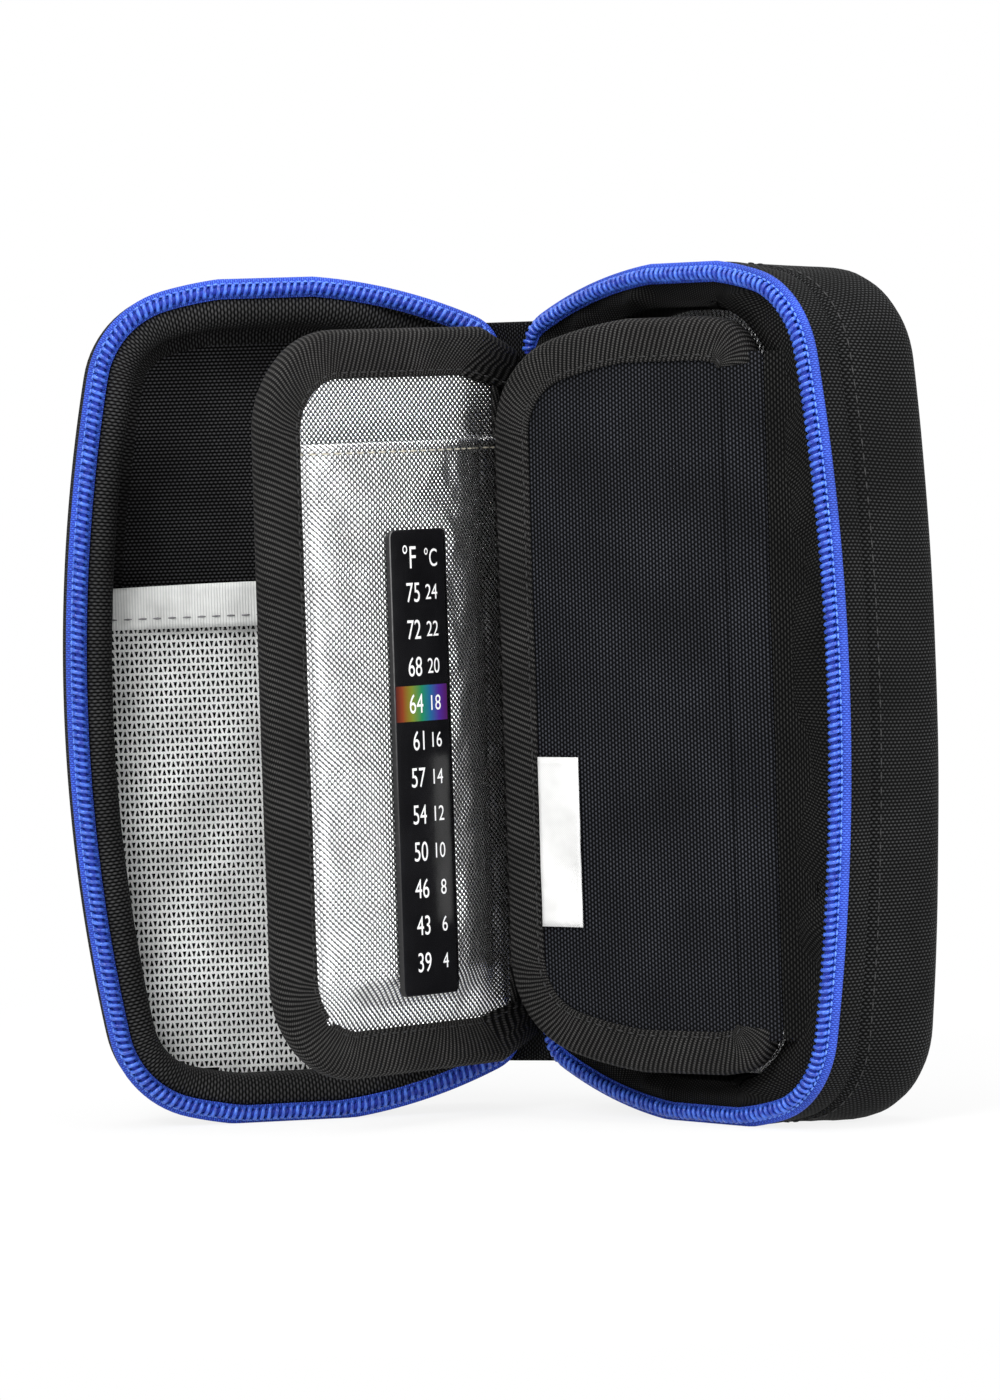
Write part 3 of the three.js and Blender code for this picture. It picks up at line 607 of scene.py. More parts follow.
COIL, tree, shader = start_material("nylon coil")
cloud = use_group(tree, blotches, object_point(tree), Scale=600.0)
colour = ramp(tree, cloud, [(0.35, (0.014, 0.04, 0.36)), (0.65, (0.07, 0.19, 0.78))])
tree.links.new(colour, shader.inputs["Base Color"])
shader.inputs["Roughness"].default_value = 0.3

CARD, tree, shader = start_material("strip card")
cloud = use_group(tree, blotches, object_point(tree), Scale=90.0)
colour = ramp(tree, cloud, [(0.3, (0.003, 0.003, 0.0035)), (0.7, (0.007, 0.007, 0.008))])
tree.links.new(colour, shader.inputs["Base Color"])
tree.links.new(bump(tree, cloud, 0.3, 0.4), shader.inputs["Normal"])
shader.inputs["Roughness"].default_value = 0.16


def speckled(name, dark, light, scale, roughness, metallic=0.0):
    material, tree, shader = start_material(name)
    cloud = use_group(tree, blotches, object_point(tree), Scale=scale)
    colour = ramp(tree, cloud, [(0.3, dark), (0.7, light)])
    tree.links.new(colour, shader.inputs["Base Color"])
    shader.inputs["Roughness"].default_value = roughness
    shader.inputs["Metallic"].default_value = metallic
    return material


PRINT = speckled("white print", (0.8, 0.8, 0.8), (0.88, 0.88, 0.88), 300.0, 0.4)
BLACK_THREAD = speckled("black thread", (0.006, 0.006, 0.006), (0.02, 0.02, 0.02), 900.0, 0.7)
GREY_THREAD = speckled("grey thread", (0.14, 0.14, 0.15), (0.26, 0.26, 0.27), 900.0, 0.7)
BEIGE_THREAD = speckled("beige thread", (0.42, 0.38, 0.3), (0.6, 0.56, 0.46), 900.0, 0.7)
ZIP_THREAD = speckled("blue thread", (0.05, 0.14, 0.62), (0.16, 0.34, 0.9), 700.0, 0.6)
ENAMEL = speckled("black enamel", (0.008, 0.008, 0.009), (0.018, 0.018, 0.02), 400.0, 0.28, 0.4)
GEL = speckled("gel pouch", (0.3, 0.45, 0.66), (0.42, 0.58, 0.76), 70.0, 0.22)

RAINBOW, tree, shader = start_material("liquid crystal window")
axes = tree.nodes.new("ShaderNodeSeparateXYZ")
tree.links.new(read_uv(tree), axes.inputs[0])
bands = [(0.0, (0.05, 0.005, 0.004)), (0.12, (0.2, 0.035, 0.01)), (0.3, (0.16, 0.2, 0.02))]
bands += [(0.48, (0.015, 0.2, 0.08)), (0.66, (0.015, 0.1, 0.25))]
bands += [(0.82, (0.06, 0.02, 0.24)), (1.0, (0.07, 0.01, 0.09))]
tree.links.new(ramp(tree, axes.outputs["X"], bands), shader.inputs["Base Color"])
shader.inputs["Roughness"].default_value = 0.2
print("materials:", len(bpy.data.materials))

# %% [markdown]
# ## Camera, floor and light
# The photograph looks level at the open book, a little from the compartment's side, through a long lens.
# The floor and the surroundings are plain white where they are seen or mirrored.
# Near the case the floor glows a little less, so that it keeps a soft shadow there.
# Soft lamps stand left, right and above.

# %% Camera
TURN = math.radians(41.06)
TILT = math.radians(-2.62)
ROLL = math.radians(-1.81)
LENS = 179.46
FROM_SPINE = Vector((1.28716, -1.12837, 0.0766))
LOOK = Vector((-math.cos(TURN) * math.cos(TILT), math.sin(TURN) * math.cos(TILT), math.sin(TILT)))
RIGHT = LOOK.cross(Vector((0, 0, 1))).normalized()
UP = RIGHT.cross(LOOK)
camera_data = bpy.data.cameras.new("camera")
camera_data.sensor_fit = "VERTICAL"
camera_data.sensor_height = 36
camera_data.lens = LENS
camera_data.clip_end = 20
camera = bpy.data.objects.new("camera", camera_data)
bpy.context.scene.collection.objects.link(camera)
bpy.context.scene.camera = camera
spot = Vector((spine.x, spine.y, mid_height)) + FROM_SPINE
axes = Matrix((RIGHT, UP, -LOOK)).transposed().to_4x4()
camera.matrix_world = Matrix.Translation(spot) @ axes @ Matrix.Rotation(ROLL, 4, "Z")
print("camera at", [round(x, 3) for x in spot])

# %% Floor
NEAR_CASE = 0.15
PAST_SHADOW = 0.4
GLOW_NEAR = 0.85


def seen_ray(tree):
    path = tree.nodes.new("ShaderNodeLightPath")
    mirrored = calc(tree, "MAXIMUM", path.outputs["Is Glossy Ray"], path.outputs["Is Transmission Ray"])
    return calc(tree, "MAXIMUM", path.outputs["Is Camera Ray"], mirrored)


bm = bmesh.new()
bmesh.ops.create_grid(bm, x_segments=8, y_segments=8, size=6)
floor_mesh = bpy.data.meshes.new("floor")
bm.to_mesh(floor_mesh)
bm.free()
floor = bpy.data.objects.new("floor", floor_mesh)
bpy.context.scene.collection.objects.link(floor)
FLOOR, tree, shader = start_material("white floor")
shader.inputs["Base Color"].default_value = (0.9, 0.9, 0.9, 1)
shader.inputs["Roughness"].default_value = 0.9
glow = tree.nodes.new("ShaderNodeEmission")
glow.inputs["Color"].default_value = (1, 1, 1, 1)
blend_shader = tree.nodes.new("ShaderNodeMixShader")
away = tree.nodes.new("ShaderNodeVectorMath")
away.operation = "LENGTH"
tree.links.new(object_point(tree), away.inputs[0])
fade = tree.nodes.new("ShaderNodeMapRange")
fade.inputs["From Min"].default_value = NEAR_CASE
fade.inputs["From Max"].default_value = PAST_SHADOW
fade.inputs["To Min"].default_value = GLOW_NEAR
tree.links.new(away.outputs["Value"], fade.inputs["Value"])
tree.links.new(calc(tree, "MULTIPLY", seen_ray(tree), fade.outputs[0]), blend_shader.inputs["Fac"])
tree.links.new(shader.outputs[0], blend_shader.inputs[1])
tree.links.new(glow.outputs[0], blend_shader.inputs[2])
tree.links.new(blend_shader.outputs[0], tree.nodes["Material Output"].inputs["Surface"])
floor_mesh.materials.append(FLOOR)
print("floor:", len(floor_mesh.polygons), "faces")

# %% Surroundings and lamps
AMBIENT = 0.45
world = bpy.data.worlds.new("studio")
bpy.context.scene.world = world
world.use_nodes = True
tree = world.node_tree
sky = tree.nodes["Background"]
tree.links.new(calc(tree, "MULTIPLY_ADD", seen_ray(tree), 1 - AMBIENT, AMBIENT), sky.inputs["Strength"])
sky.inputs["Color"].default_value = (1, 1, 1, 1)


def lamp(name, place, target, size, power):
    data = bpy.data.lights.new(name, "AREA")
    data.shape = "RECTANGLE"
    data.size = size[0]
    data.size_y = size[1]
    data.energy = power
    obj = bpy.data.objects.new(name, data)
    bpy.context.scene.collection.objects.link(obj)
    aim = (Vector(target) - Vector(place)).to_track_quat("-Z", "Y")
    obj.matrix_world = Matrix.Translation(place) @ aim.to_matrix().to_4x4()
    return obj


centre = Vector((0, 0, 0.1))
lamp("key", centre - LOOK * 0.95 - RIGHT * 0.65 + Vector((0, 0, 1.0)), centre, (0.7, 0.7), 16)
lamp("fill", centre - LOOK * 0.7 + RIGHT * 0.9 + Vector((0, 0, 0.35)), centre, (0.6, 0.9), 10)
lamp("top", centre + Vector((0, 0, 1.1)), centre, (0.9, 0.9), 7)
bpy.context.scene.view_settings.view_transform = "Standard"
print("lamps: 3")

# %% [markdown]
# ## Outer shell of the compartment
# The wall is padded oxford cloth. It starts under the zip tape, runs back over a narrow gusset to a seam,
# bulges a little over its foam and turns round a soft edge on to the back panel.
# It is pressed flat where the case stands.
# Each line of the section is the case outline at another inset and depth, so it is lofted line by line.

# %% Wall of the compartment
BODY_DEPTH = 40
BODY_EDGE = 11
FOOT_V = -102.9
SAG = 0.9
WALL_SEED = 1.0
WALL_REACH = 30


def edge_lines(depth, radius, steps=6):
    turns = [math.pi / 2 * i / steps for i in range(1, steps + 1)]
    return [(radius * (1 - math.cos(t)), -depth + radius * (1 - math.sin(t))) for t in turns]


def padded_wall(lines):
    rows = []
    for inset, w in lines:
        share = smooth_step(4, WALL_REACH, -w)
        points = [a.lerp(b, share) for a, b in zip(ring(CASE, inset, w), ring(BACK, inset, w))]
        for p in points:
            p.z += ripple(p, 26, 0.25, WALL_SEED)
            p.y = max(p.y - SAG * share, FOOT_V)
        rows.append(points)
    return rows


wall = [(1.1, -2.95), (0.5, -3.15), (0.15, -3.6), (-0.05, -4.4), (-0.3, -7.0), (-0.3, -9.5), (0.0, -11.2)]
wall.append((0.9, -12.0))
wall += [(0.05, -12.9), (-0.2, -15), (-0.35, -19), (-0.35, -23), (-0.15, -27), (0, -29)]
wall += edge_lines(BODY_DEPTH, BODY_EDGE)
shell_nodes = ["body_side_wall", "body_zip_gusset", "body_spine_strip"]
MIDDLE = Vector((57, 0, -18))
shell = loft(padded_wall(wall))
body_shell = piece(
    shell, "body_shell", BODY_AT, "body", OXFORD, shell_nodes, facing=1, around=MIDDLE
)
thicken(body_shell, 0.9)
print("body_shell:", len(body_shell.data.polygons), "faces")

# %% Back panel of the compartment


def dome(panel, inset, edge_w, centre_w, shares, sag=0.0):
    rows = []
    base = [p - Vector((0, sag, 0)) for p in ring(panel, inset, edge_w)]
    centre = Vector(((panel.left + panel.right) / 2, 0, centre_w))
    for share in shares:
        row = []
        for p in base:
            q = centre.lerp(p, share)
            q.z = centre_w + (edge_w - centre_w) * share**4 + ripple(q, 35, 0.25, 4.0)
            row.append(q)
        rows.append(row)
    return rows


shares = [1.0, 0.985, 0.95, 0.88, 0.78, 0.66, 0.53, 0.4, 0.27, 0.14, 0.04]
back = loft(dome(BACK, 10.6, -BODY_DEPTH + 0.45, -BODY_DEPTH + 0.05, shares, SAG), flat=True, capped=True)
body_back = piece(back, "body_back", BODY_AT, "body", OXFORD, ["body_back_panel"], facing=-1)
thicken(body_back, 0.8)
print("body_back:", len(body_back.data.polygons), "faces")

# %% [markdown]
# ## Topstitching on the wall
# A row of stitches runs beside the wall's seam. Each stitch is a small stretched ball of thread,
# set along the seam line with its own direction, because a texture would not catch the light.

# %% Stitches beside the wall seam


def outward(points):
    normals = []
    for a, b in zip(points, points[1:] + points[:1]):
        ahead = (b - a).normalized()
        normals.append(Vector((ahead.y, -ahead.x, 0)))
    return normals


SEAM_ROW = (-0.25, -14.2)
seam_line = padded_wall([SEAM_ROW])[0][ROUND]
seam_ups = outward(seam_line)
seam_stitches = sew("seam_stitches", seam_line, seam_ups, BODY_AT, "body", BLACK_THREAD)
print("seam_stitches:", len(seam_stitches.data.polygons), "faces")

# %% [markdown]
# ## Zip tape and coil
# The tape is a woven strip bent over the rim: a wide leg on the wall and a narrow one inside.
# The coil is one nylon thread wound round a cord. It could be a row of rings, but then the thread
# would not run through, so it is drawn as a helix along the rim and given a thickness.

# %% Zip tape
TAPE_LINES = [(0.1, -4.3), (-0.35, -4.25), (-0.5, -3.5), (-0.35, -2.8), (0.2, -2.45), (1.2, -2.35)]
TAPE_LINES += [(3.2, -2.25), (4.2, -2.1), (4.45, -2.2), (4.4, -2.45), (3.2, -2.75), (1.2, -2.9)]
TAPE_LINES += [(0.4, -3.05), (0.1, -3.4)]


def zip_tape(name, at, body, node):
    rows = [ring(CASE, inset, w, ROUND) for inset, w in TAPE_LINES]
    for row in rows:
        for p in row:
            p.y = max(p.y, FOOT_V)
    return piece(closed_band(rows), name, at, body, TAPE_BLUE, [node])


body_tape = zip_tape("body_zip_tape_cloth", BODY_AT, "body", "body_zip_tape")
print("body tape:", len(body_tape.data.polygons), "faces")

# %% Zip coil
COIL_INSET = 2.4
COIL_W = -1.5
COIL_TURN = 1.7
COIL_WIDE = 1.35
COIL_HIGH = 0.95
TURN_STEPS = 9
CORD_RADIUS = 0.85
CORD_STEPS = 260


def walk(points, count):
    run = lengths(points)
    k = 0
    spots = []
    for i in range(count + 1):
        target = min(run[-1] * i / count, run[-1] - 1e-6)
        while run[k + 1] < target:
            k += 1
        share = (target - run[k]) / (run[k + 1] - run[k])
        ahead = (points[k + 1] - points[k]).normalized()
        spots.append((points[k].lerp(points[k + 1], share), ahead))
    return spots


def wire(name, points, radius, at, body, material, nodes=(), sides=2):
    curve = bpy.data.curves.new(name, "CURVE")
    curve.dimensions = "3D"
    curve.bevel_depth = radius
    curve.bevel_resolution = sides
    curve.use_fill_caps = True
    spline = curve.splines.new("POLY")
    spline.points.add(len(points) - 1)
    for slot_point, p in zip(spline.points, points):
        slot_point.co = (*p, 1)
    helper = bpy.data.objects.new(name + "_line", curve)
    bpy.context.scene.collection.objects.link(helper)
    mesh = bpy.data.meshes.new_from_object(helper.evaluated_get(bpy.context.evaluated_depsgraph_get()))
    bpy.data.objects.remove(helper)
    bpy.data.curves.remove(curve)
    mesh.name = name
    mesh.transform(at)
    if at.determinant() < 0:
        mesh.flip_normals()
    for face in mesh.polygons:
        face.use_smooth = True
    return dress(mesh, name, body, material, nodes)


def zip_coil(name, at, body, node):
    middle = ring(CASE, COIL_INSET, COIL_W, ROUND)
    turns = int(lengths(middle)[-1] / COIL_TURN)
    points = []
    for i, (p, ahead) in enumerate(walk(middle, turns * TURN_STEPS)):
        angle = 2 * math.pi * i / TURN_STEPS
        inward = Vector((-ahead.y, ahead.x, 0))
        rise = Vector((0, 0, COIL_HIGH * math.sin(angle)))
        points.append(p + inward * (COIL_WIDE * math.cos(angle)) + rise)
    coil = wire(name, points, 0.5, at, body, COIL, [node], sides=1)
    core = [p for p, _ in walk(middle, CORD_STEPS)]
    wire(name + "_cord", core, CORD_RADIUS, at, body, TAPE_BLUE)
    line = ring(CASE, 0.75, -2.2, ROUND)
    ups = [Vector((0, 0, 1))] * len(line)
    sew(name + "_stitches", line, ups, at, body, ZIP_THREAD, 1.5, 0.2, 0.6)
    return coil


body_coil = zip_coil("body_coil", BODY_AT, "body", "body_zip_coil")
print("body coil:", len(body_coil.data.polygons), "faces")

# %% [markdown]
# ## Inside of the compartment
# A soft lip of cloth falls from the zip to the mouth and puckers where it is gathered round the corners.
# Its folds could be a bump in the material, but they show against the flap's edge,
# so they are moved in the mesh.
# Below it a foil-faced pad lines walls and floor, and two elastic bands sewn down in loops hold pens.

# %% Padded lip round the mouth
POCKET = CASE.inside(9.3, 4.3)
MOUTH = replace(POCKET, right=90.8, side=STRAIGHT, right_corner=26)


def lip_rows(steps=16):
    outer = ring(CASE, 3.8, -2.7)
    inner = ring(MOUTH, 0.9, -4.7)
    rows = []
    for i in range(steps + 1):
        share = i / steps
        row = []
        for a, b in zip(outer, inner):
            p = a.lerp(b, share)
            swell = math.sin(math.pi * share)
            p.z += 0.7 * swell + swell * (ripple(p, 10, 2.2, 7.0) + ripple(p, 4, 0.8, 8.0))
            row.append(p)
        rows.append(row)
    for inset, w in ((1.0, -5.4), (1.3, -6.6), (1.6, -9), (1.6, -13), (1.5, -17)):
        rows.append(ring(MOUTH, inset, w))
    return rows


lip = loft(lip_rows())
body_lip = piece(lip, "body_lip", BODY_AT, "body", LIP_CLOTH, ["body_lip_facing"], facing=1)
thicken(body_lip, 0.7)
print("body_lip:", len(body_lip.data.polygons), "faces")

# %% Foil lining of the compartment
lines = [(1.3, -14), (1.0, -15), (0.9, -18), (0.9, -21), (0.9, -24), (1.1, -29), (1.9, -31.6), (3.4, -32.7)]
rows = [ring(POCKET, inset, w) for inset, w in lines]
for row in rows[1:]:
    for p in row:
        p.z += ripple(p, 14, 0.2, 3.0)
FLOOR_W = -33.0
floor_line = ring(POCKET, 5.2, FLOOR_W)
floor_middle = Vector((56, 0, FLOOR_W))
for share in (1.0, 0.9, 0.75, 0.6, 0.45, 0.3, 0.15, 0.04):
    lifts = [Vector((0, 0, ripple(p * share, 16, 0.15, 5.0))) for p in floor_line]
    rows.append([floor_middle.lerp(p, share) + lift for p, lift in zip(floor_line, lifts)])
lining = loft(rows, capped=True)
lining_nodes = ["body_foil_lining", "body_foam"]
body_lining = piece(
    lining, "body_lining", BODY_AT, "body", FOIL, lining_nodes, facing=-1, around=MIDDLE
)
thicken(body_lining, 0.6)
print("body_lining:", len(body_lining.data.polygons), "faces")

# %% Elastic pen loops
LOOP_WIDTH = 17
LOOP_RISE = 15.5
LOOP_LAND = 6
LOOP_BAND = 18
LOOP_FLOOR = -32.5
LOOP_V = 45


def loop_profile():
    pitch = LOOP_WIDTH + LOOP_LAND
    points = [(-1.5 * pitch - LOOP_LAND / 2, 0.5)]
    for k in (-1, 0, 1):
        for i in range(17):
            angle = math.pi * (1 - i / 16)
            x = k * pitch + (LOOP_WIDTH / 2 + 0.5) * math.cos(angle)
            points.append((x, max((LOOP_RISE + 0.5) * math.sin(angle), 0.5)))
    points.append((1.5 * pitch + LOOP_LAND / 2, 0.5))
    return points


loop_middle = (POCKET.left + POCKET.right) / 2
for name, v in (("upper", LOOP_V), ("lower", -LOOP_V)):
    rows = []
    for i in range(7):
        y = v + LOOP_BAND * (i / 6 - 0.5)
        rows.append([Vector((loop_middle + x, y, LOOP_FLOOR + z)) for x, z in loop_profile()])
    loops = loft(rows, False)
    node = f"pen_loop_band_{name}"
    band = piece(loops, f"pen_loops_{name}", BODY_AT, "body", GROSGRAIN, [node], facing=1)
    thicken(band, 0.9, 0.0)

# %% [markdown]
# ## Spine
# A corded piping is the spine of the book. A strip of cloth bridges it from the compartment to the lid
# and is bent to the lid's present angle; it rides on neither body. Past the ends of the straight spine
# the strip widens as a web that follows both rounded corners.

# %% Spine piping
SPINE_HALF = CASE.root_corner()[1]


def rod(radius, half, centre, steps=44, sides=14):
    rows = []
    for i in range(steps + 1):
        v = -half + 2 * half * i / steps
        tip = min(1.0, 0.55 + 0.45 * min(i, steps - i))
        reach = radius * tip
        turns = [2 * math.pi * k / sides for k in range(sides)]
        circle = [(reach * math.cos(t), reach * math.sin(t)) for t in turns]
        rows.append([Vector((centre[0] + x, v, centre[1] + z)) for x, z in circle])
    bm = loft(rows)
    cap(bm)
    return bm


cord = rod(1.7, SPINE_HALF, (0, 0))
piping = piece(cord, "spine_cord", BODY_AT, "body", PIPING_CLOTH, ["spine_piping"])
print("spine_cord:", len(piping.data.polygons), "faces")

# %% Spine cloth
lid_swing = Matrix.Rotation(math.radians(180 - LID_ANGLE), 4, "Y") @ Matrix.Scale(-1, 4, (1, 0, 0))
SPINE_SECTION = ((2.0, -7.5), (1.95, -5.5), (1.7, -3.7), (0.6, -2.5))
body_side = [Vector((u, 0, w)) for u, w in SPINE_SECTION]
CLOTH_HALF = SPINE_HALF + 8


def spine_section(past):
    corner = CASE.left_corner
    away = corner - math.sqrt(corner**2 - past**2)
    shifts = [Vector((away * share, 0, 0)) for share in (1, 1, 0.9, 0.5)]
    near = [p + shift for p, shift in zip(body_side, shifts)]
    return near + [lid_swing @ p for p in reversed(near)]


rows = []
for i in range(53):
    v = CLOTH_HALF * (i / 26 - 1)
    past = max(abs(v) - SPINE_HALF, 0)
    rows.append([Vector((p.x, v, p.z)) for p in spine_section(past)])
spine_cloth = piece(loft(rows, False), "spine_cloth", BODY_AT, None, OXFORD)
subdivide(thicken(spine_cloth, 0.5, 0.0))
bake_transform(spine_cloth)

# %% [markdown]
# ## Lid
# The lid is the mirror image of the compartment, only shallower. It could be a copy that is scaled,
# but that would flatten the tape and the coil as well.
# It is drawn on the same outline and carried over by a matrix that swings and mirrors it.
# So its wall, front panel, tape and coil come from the same functions.

# %% Outer shell of the lid
LID_DEPTH = 27
LID_EDGE = 12
wall = [(1.1, -2.95), (0.8, -3.3), (0.6, -4.4), (0.5, -8.0), (0.4, -11.0), (0.25, -14.0), (0.1, -15)]
wall += edge_lines(LID_DEPTH, LID_EDGE)
lid_nodes = ["lid_side_wall", "lid_spine_strip"]
shell = loft([ring(CASE, inset, w) for inset, w in wall])
lid_shell = piece(
    shell, "lid_shell", LID_AT, "lid", OXFORD, lid_nodes, facing=1, around=MIDDLE
)
thicken(lid_shell, 0.9)
front = loft(dome(CASE, 11.6, -LID_DEPTH + 0.45, -LID_DEPTH + 0.05, shares), flat=True, capped=True)
lid_front = piece(front, "lid_front", LID_AT, "lid", OXFORD, ["lid_front_panel"], facing=-1)
thicken(lid_front, 0.8)
print("lid_shell:", len(lid_shell.data.polygons), "faces")

# %% Zip on the lid
zip_tape("lid_zip_tape_cloth", LID_AT, "lid", "lid_zip_tape")
lid_coil = zip_coil("lid_coil", LID_AT, "lid", "lid_zip_coil")
print("lid coil:", len(lid_coil.data.polygons), "faces")

# %% [markdown]
# ### Lining of the lid
# Inside the coil runs a soft roll of woven cloth, then the lining falls to the floor of the lid.
# Roll and wall are one loft with the threads along the seam. The floor is a flat cut of its own.
# Beside the spine the roll lies flatter and leaves room for the page when the case is closed.

# %% Lining roll, wall and floor
ROLL_DROP = 3.6
ROLL_FOOT = -6
lines = [(4.3, -2.9), (4.8, -2.0), (5.8, -1.5), (7.2, -1.5), (8.8, -2.1), (10.2, -3.4), (11.0, -5.2)]
lines += [(11.3, -7.4), (11.3, -10), (11.2, -13), (11.3, -16.5), (11.9, -19.2), (13.2, -20.8), (15.5, -21.4)]
rows = [ring(CASE, inset, w) for inset, w in lines]
for row in rows[1:-1]:
    for p in row:
        p.z += ripple(p, 10, 0.6, 12.0) + ripple(p, 4, 0.25, 13.0)
        if p.z > ROLL_FOOT:
            p.z -= ROLL_DROP * (1 - smooth_step(22, 42, p.x))
for p in rows[0]:
    p.z -= ROLL_DROP * (1 - smooth_step(7, 9, p.x))
lining_nodes = ["lid_lining", "lid_foam"]
lid_lining = piece(
    loft(rows),
    "lid_wall_lining",
    LID_AT,
    "lid",
    LINING_ROLL,
    lining_nodes,
    facing=-1,
    around=MIDDLE,
)
thicken(lid_lining, 0.6)
floor_cut = loft(dome(CASE, 14.6, -21.35, -21.5, shares), flat=True, turned=True, capped=True)
lid_floor = piece(floor_cut, "lid_floor_lining", LID_AT, "lid", LINING_CLOTH, facing=1)
thicken(lid_floor, 0.6)
print("lid lining:", len(lid_lining.data.polygons) + len(lid_floor.data.polygons), "faces")

# %% [markdown]
# ### Net pocket
# The net is warp-knitted in courses: zigzag yarns leave slits that open upwards and downwards in turn,
# and a wavy yarn closes each course below them.
# It could be an alpha pattern on a plain sheet, but then the yarn would cast no shadow on the lining.
# So a grid is drawn out of shape to give zigzags and waves, the tall faces are inset
# and their middles taken out. What stays is the yarn.

# %% Cells of the net
NET_STITCH = 2.33
NET_COURSE = 1.95
NET_BAND = 0.35
NET_TOP = 19.0
NET_LEFT = 5.0
NET_YARN_WIDTH = 0.26
NET_W = -14.7
ZIGZAG_TOP = [0.12, 0.38]
ZIGZAG_LOW = [-0.12, 0.62]


def within(points, x, y):
    odd = False
    for (ax, ay), (bx, by) in zip(points, points[1:] + points[:1]):
        if (ay > y) != (by > y) and x < ax + (bx - ax) * (y - ay) / (by - ay):
            odd = not odd
    return odd


def net_height(x, y):
    across = min(max((x - 13) / 88, 0.0), 1.0)
    along = min(max((y + 92) / 111, 0.0), 1.0)
    full = math.sin(math.pi * across) ** 0.6 * math.sin(math.pi * along) ** 0.7
    return NET_W + 1.6 * full + ripple(Vector((x, y, 0)), 22, 0.5, 14.0)


stitches = 44
courses = 60
bm = bmesh.new()
bmesh.ops.create_grid(bm, x_segments=2 * stitches, y_segments=2 * courses, size=1)
for vert in bm.verts:
    column = round((vert.co.x + 1) * stitches)
    line = round((1 - vert.co.y) * courses)
    share = (ZIGZAG_LOW if line % 2 else ZIGZAG_TOP)[column % 2]
    wave = 0.2 * math.cos(2 * math.pi * (share - 0.25))
    down = NET_COURSE * (line // 2) + (NET_COURSE - NET_BAND) * (line % 2)
    vert.co.x = NET_LEFT + NET_STITCH * (column // 2 + share)
    vert.co.y = NET_TOP - down + wave
edge = outline(CASE, 11.0)
outside = [f for f in bm.faces if not within(edge, f.calc_center_median().x, f.calc_center_median().y)]
bmesh.ops.delete(bm, geom=outside, context="FACES")
net_area = sum(face.calc_area() for face in bm.faces)
cells = [face for face in bm.faces if face.calc_area() > 1]
bmesh.ops.inset_individual(bm, faces=cells, thickness=NET_YARN_WIDTH, use_even_offset=True)
bmesh.ops.delete(bm, geom=cells, context="FACES")
uv = bm.loops.layers.uv.new("cloth")
for vert in bm.verts:
    vert.co.z = net_height(vert.co.x, vert.co.y)
for face in bm.faces:
    for corner in face.loops:
        corner[uv].uv = (corner.vert.co.x * MM, corner.vert.co.y * MM)
net = piece(bm, "net_pocket", LID_AT, "lid", NET_YARN, ["mesh_pocket"], smooth=False, facing=1)
thicken(net, 0.45)
print("net:", len(cells), "holes")

# %% Elastic band over the net
BAND_LOW = 18.4
BAND_HIGH = 28.6
BAND_LEFT = 13.2
BAND_LENGTH = 87.2
BAND_STEPS = 40
rows = []
for i in range(9):
    share = i / 8
    row = []
    for k in range(BAND_STEPS + 1):
        u = BAND_LEFT + BAND_LENGTH * k / BAND_STEPS
        arch = math.sin(math.pi * k / BAND_STEPS)
        v = BAND_LOW + (BAND_HIGH - BAND_LOW) * share + 0.7 * arch * share
        row.append(Vector((u, v, NET_W + 0.55 + 0.9 * arch + ripple(Vector((u, v, 0)), 18, 0.25, 15.0))))
    rows.append(row)
elastic = loft(rows, False)
band = piece(elastic, "net_band", LID_AT, "lid", ELASTIC, ["mesh_pocket_band"], facing=1)
thicken(band, 0.9, 0.0)
stitch_line = [p + Vector((0, 0, 0.5)) for p in rows[2]]
ups = [Vector((0, 0, 1))] * len(stitch_line)
sew("band_stitches", stitch_line, ups, LID_AT, "lid", GREY_THREAD, 2.3, 1.3, 0.5)
print("band:", BAND_LENGTH, "mm long")

# %% [markdown]
# ## Middle page
# The page is a thin padded leaf with silver foil on one side and black cloth on the other.
# A grosgrain tape is folded over its edge and sewn through, and runs on to the spine at both ends,
# where it narrows beside the zip.
# It could be a flat leaf with a bevelled rim, but a folded tape has two edges and a fold
# that catch the light, so its section is drawn once and lofted round three sides.

# %% Binding of the page
PAGE = Panel(
    left=6.4,
    right=84,
    half=90,
    apex=41.3,
    left_arch=STRAIGHT,
    right_arch=STRAIGHT,
    side=STRAIGHT,
    left_corner=4,
    right_corner=25,
    foot=0.001,
)


def binding_section(width):
    edge = [(0, 2.1), (0, 2.75), (0.6, 2.95), (1.3, 2.7), (2.1, 2.95)]
    fold = [(width - inset, level) for inset, level in edge]
    fold += [(5.5, 3.0), (2.5, 2.95), (0.9, 2.5), (0.15, 1.4), (0, 0)]
    under = [(inset, -level) for inset, level in reversed(fold[:-1])]
    return fold + under + [(width - 0.3, -1.9), (1.3, -1.9), (1.3, 1.9), (width - 0.3, 1.9)]


PAGE_BINDING = binding_section(11.7)
PAGE_ROOT = 0.4
PAGE_COVER = 1.6
ROOT_TAPER = 0.06


def tapered(points):
    for p in points:
        p.y *= 1 - ROOT_TAPER * (1 - smooth_step(3, 12, p.x))
    return points


def page_ring(inset, w):
    points = ring(PAGE, inset, w, ROUND)[ROOT_STEPS:-ROOT_STEPS]
    first = points[0].copy()
    last = points[-1].copy()
    first.x = PAGE_ROOT
    last.x = PAGE_ROOT
    return tapered([first] + points + [last])


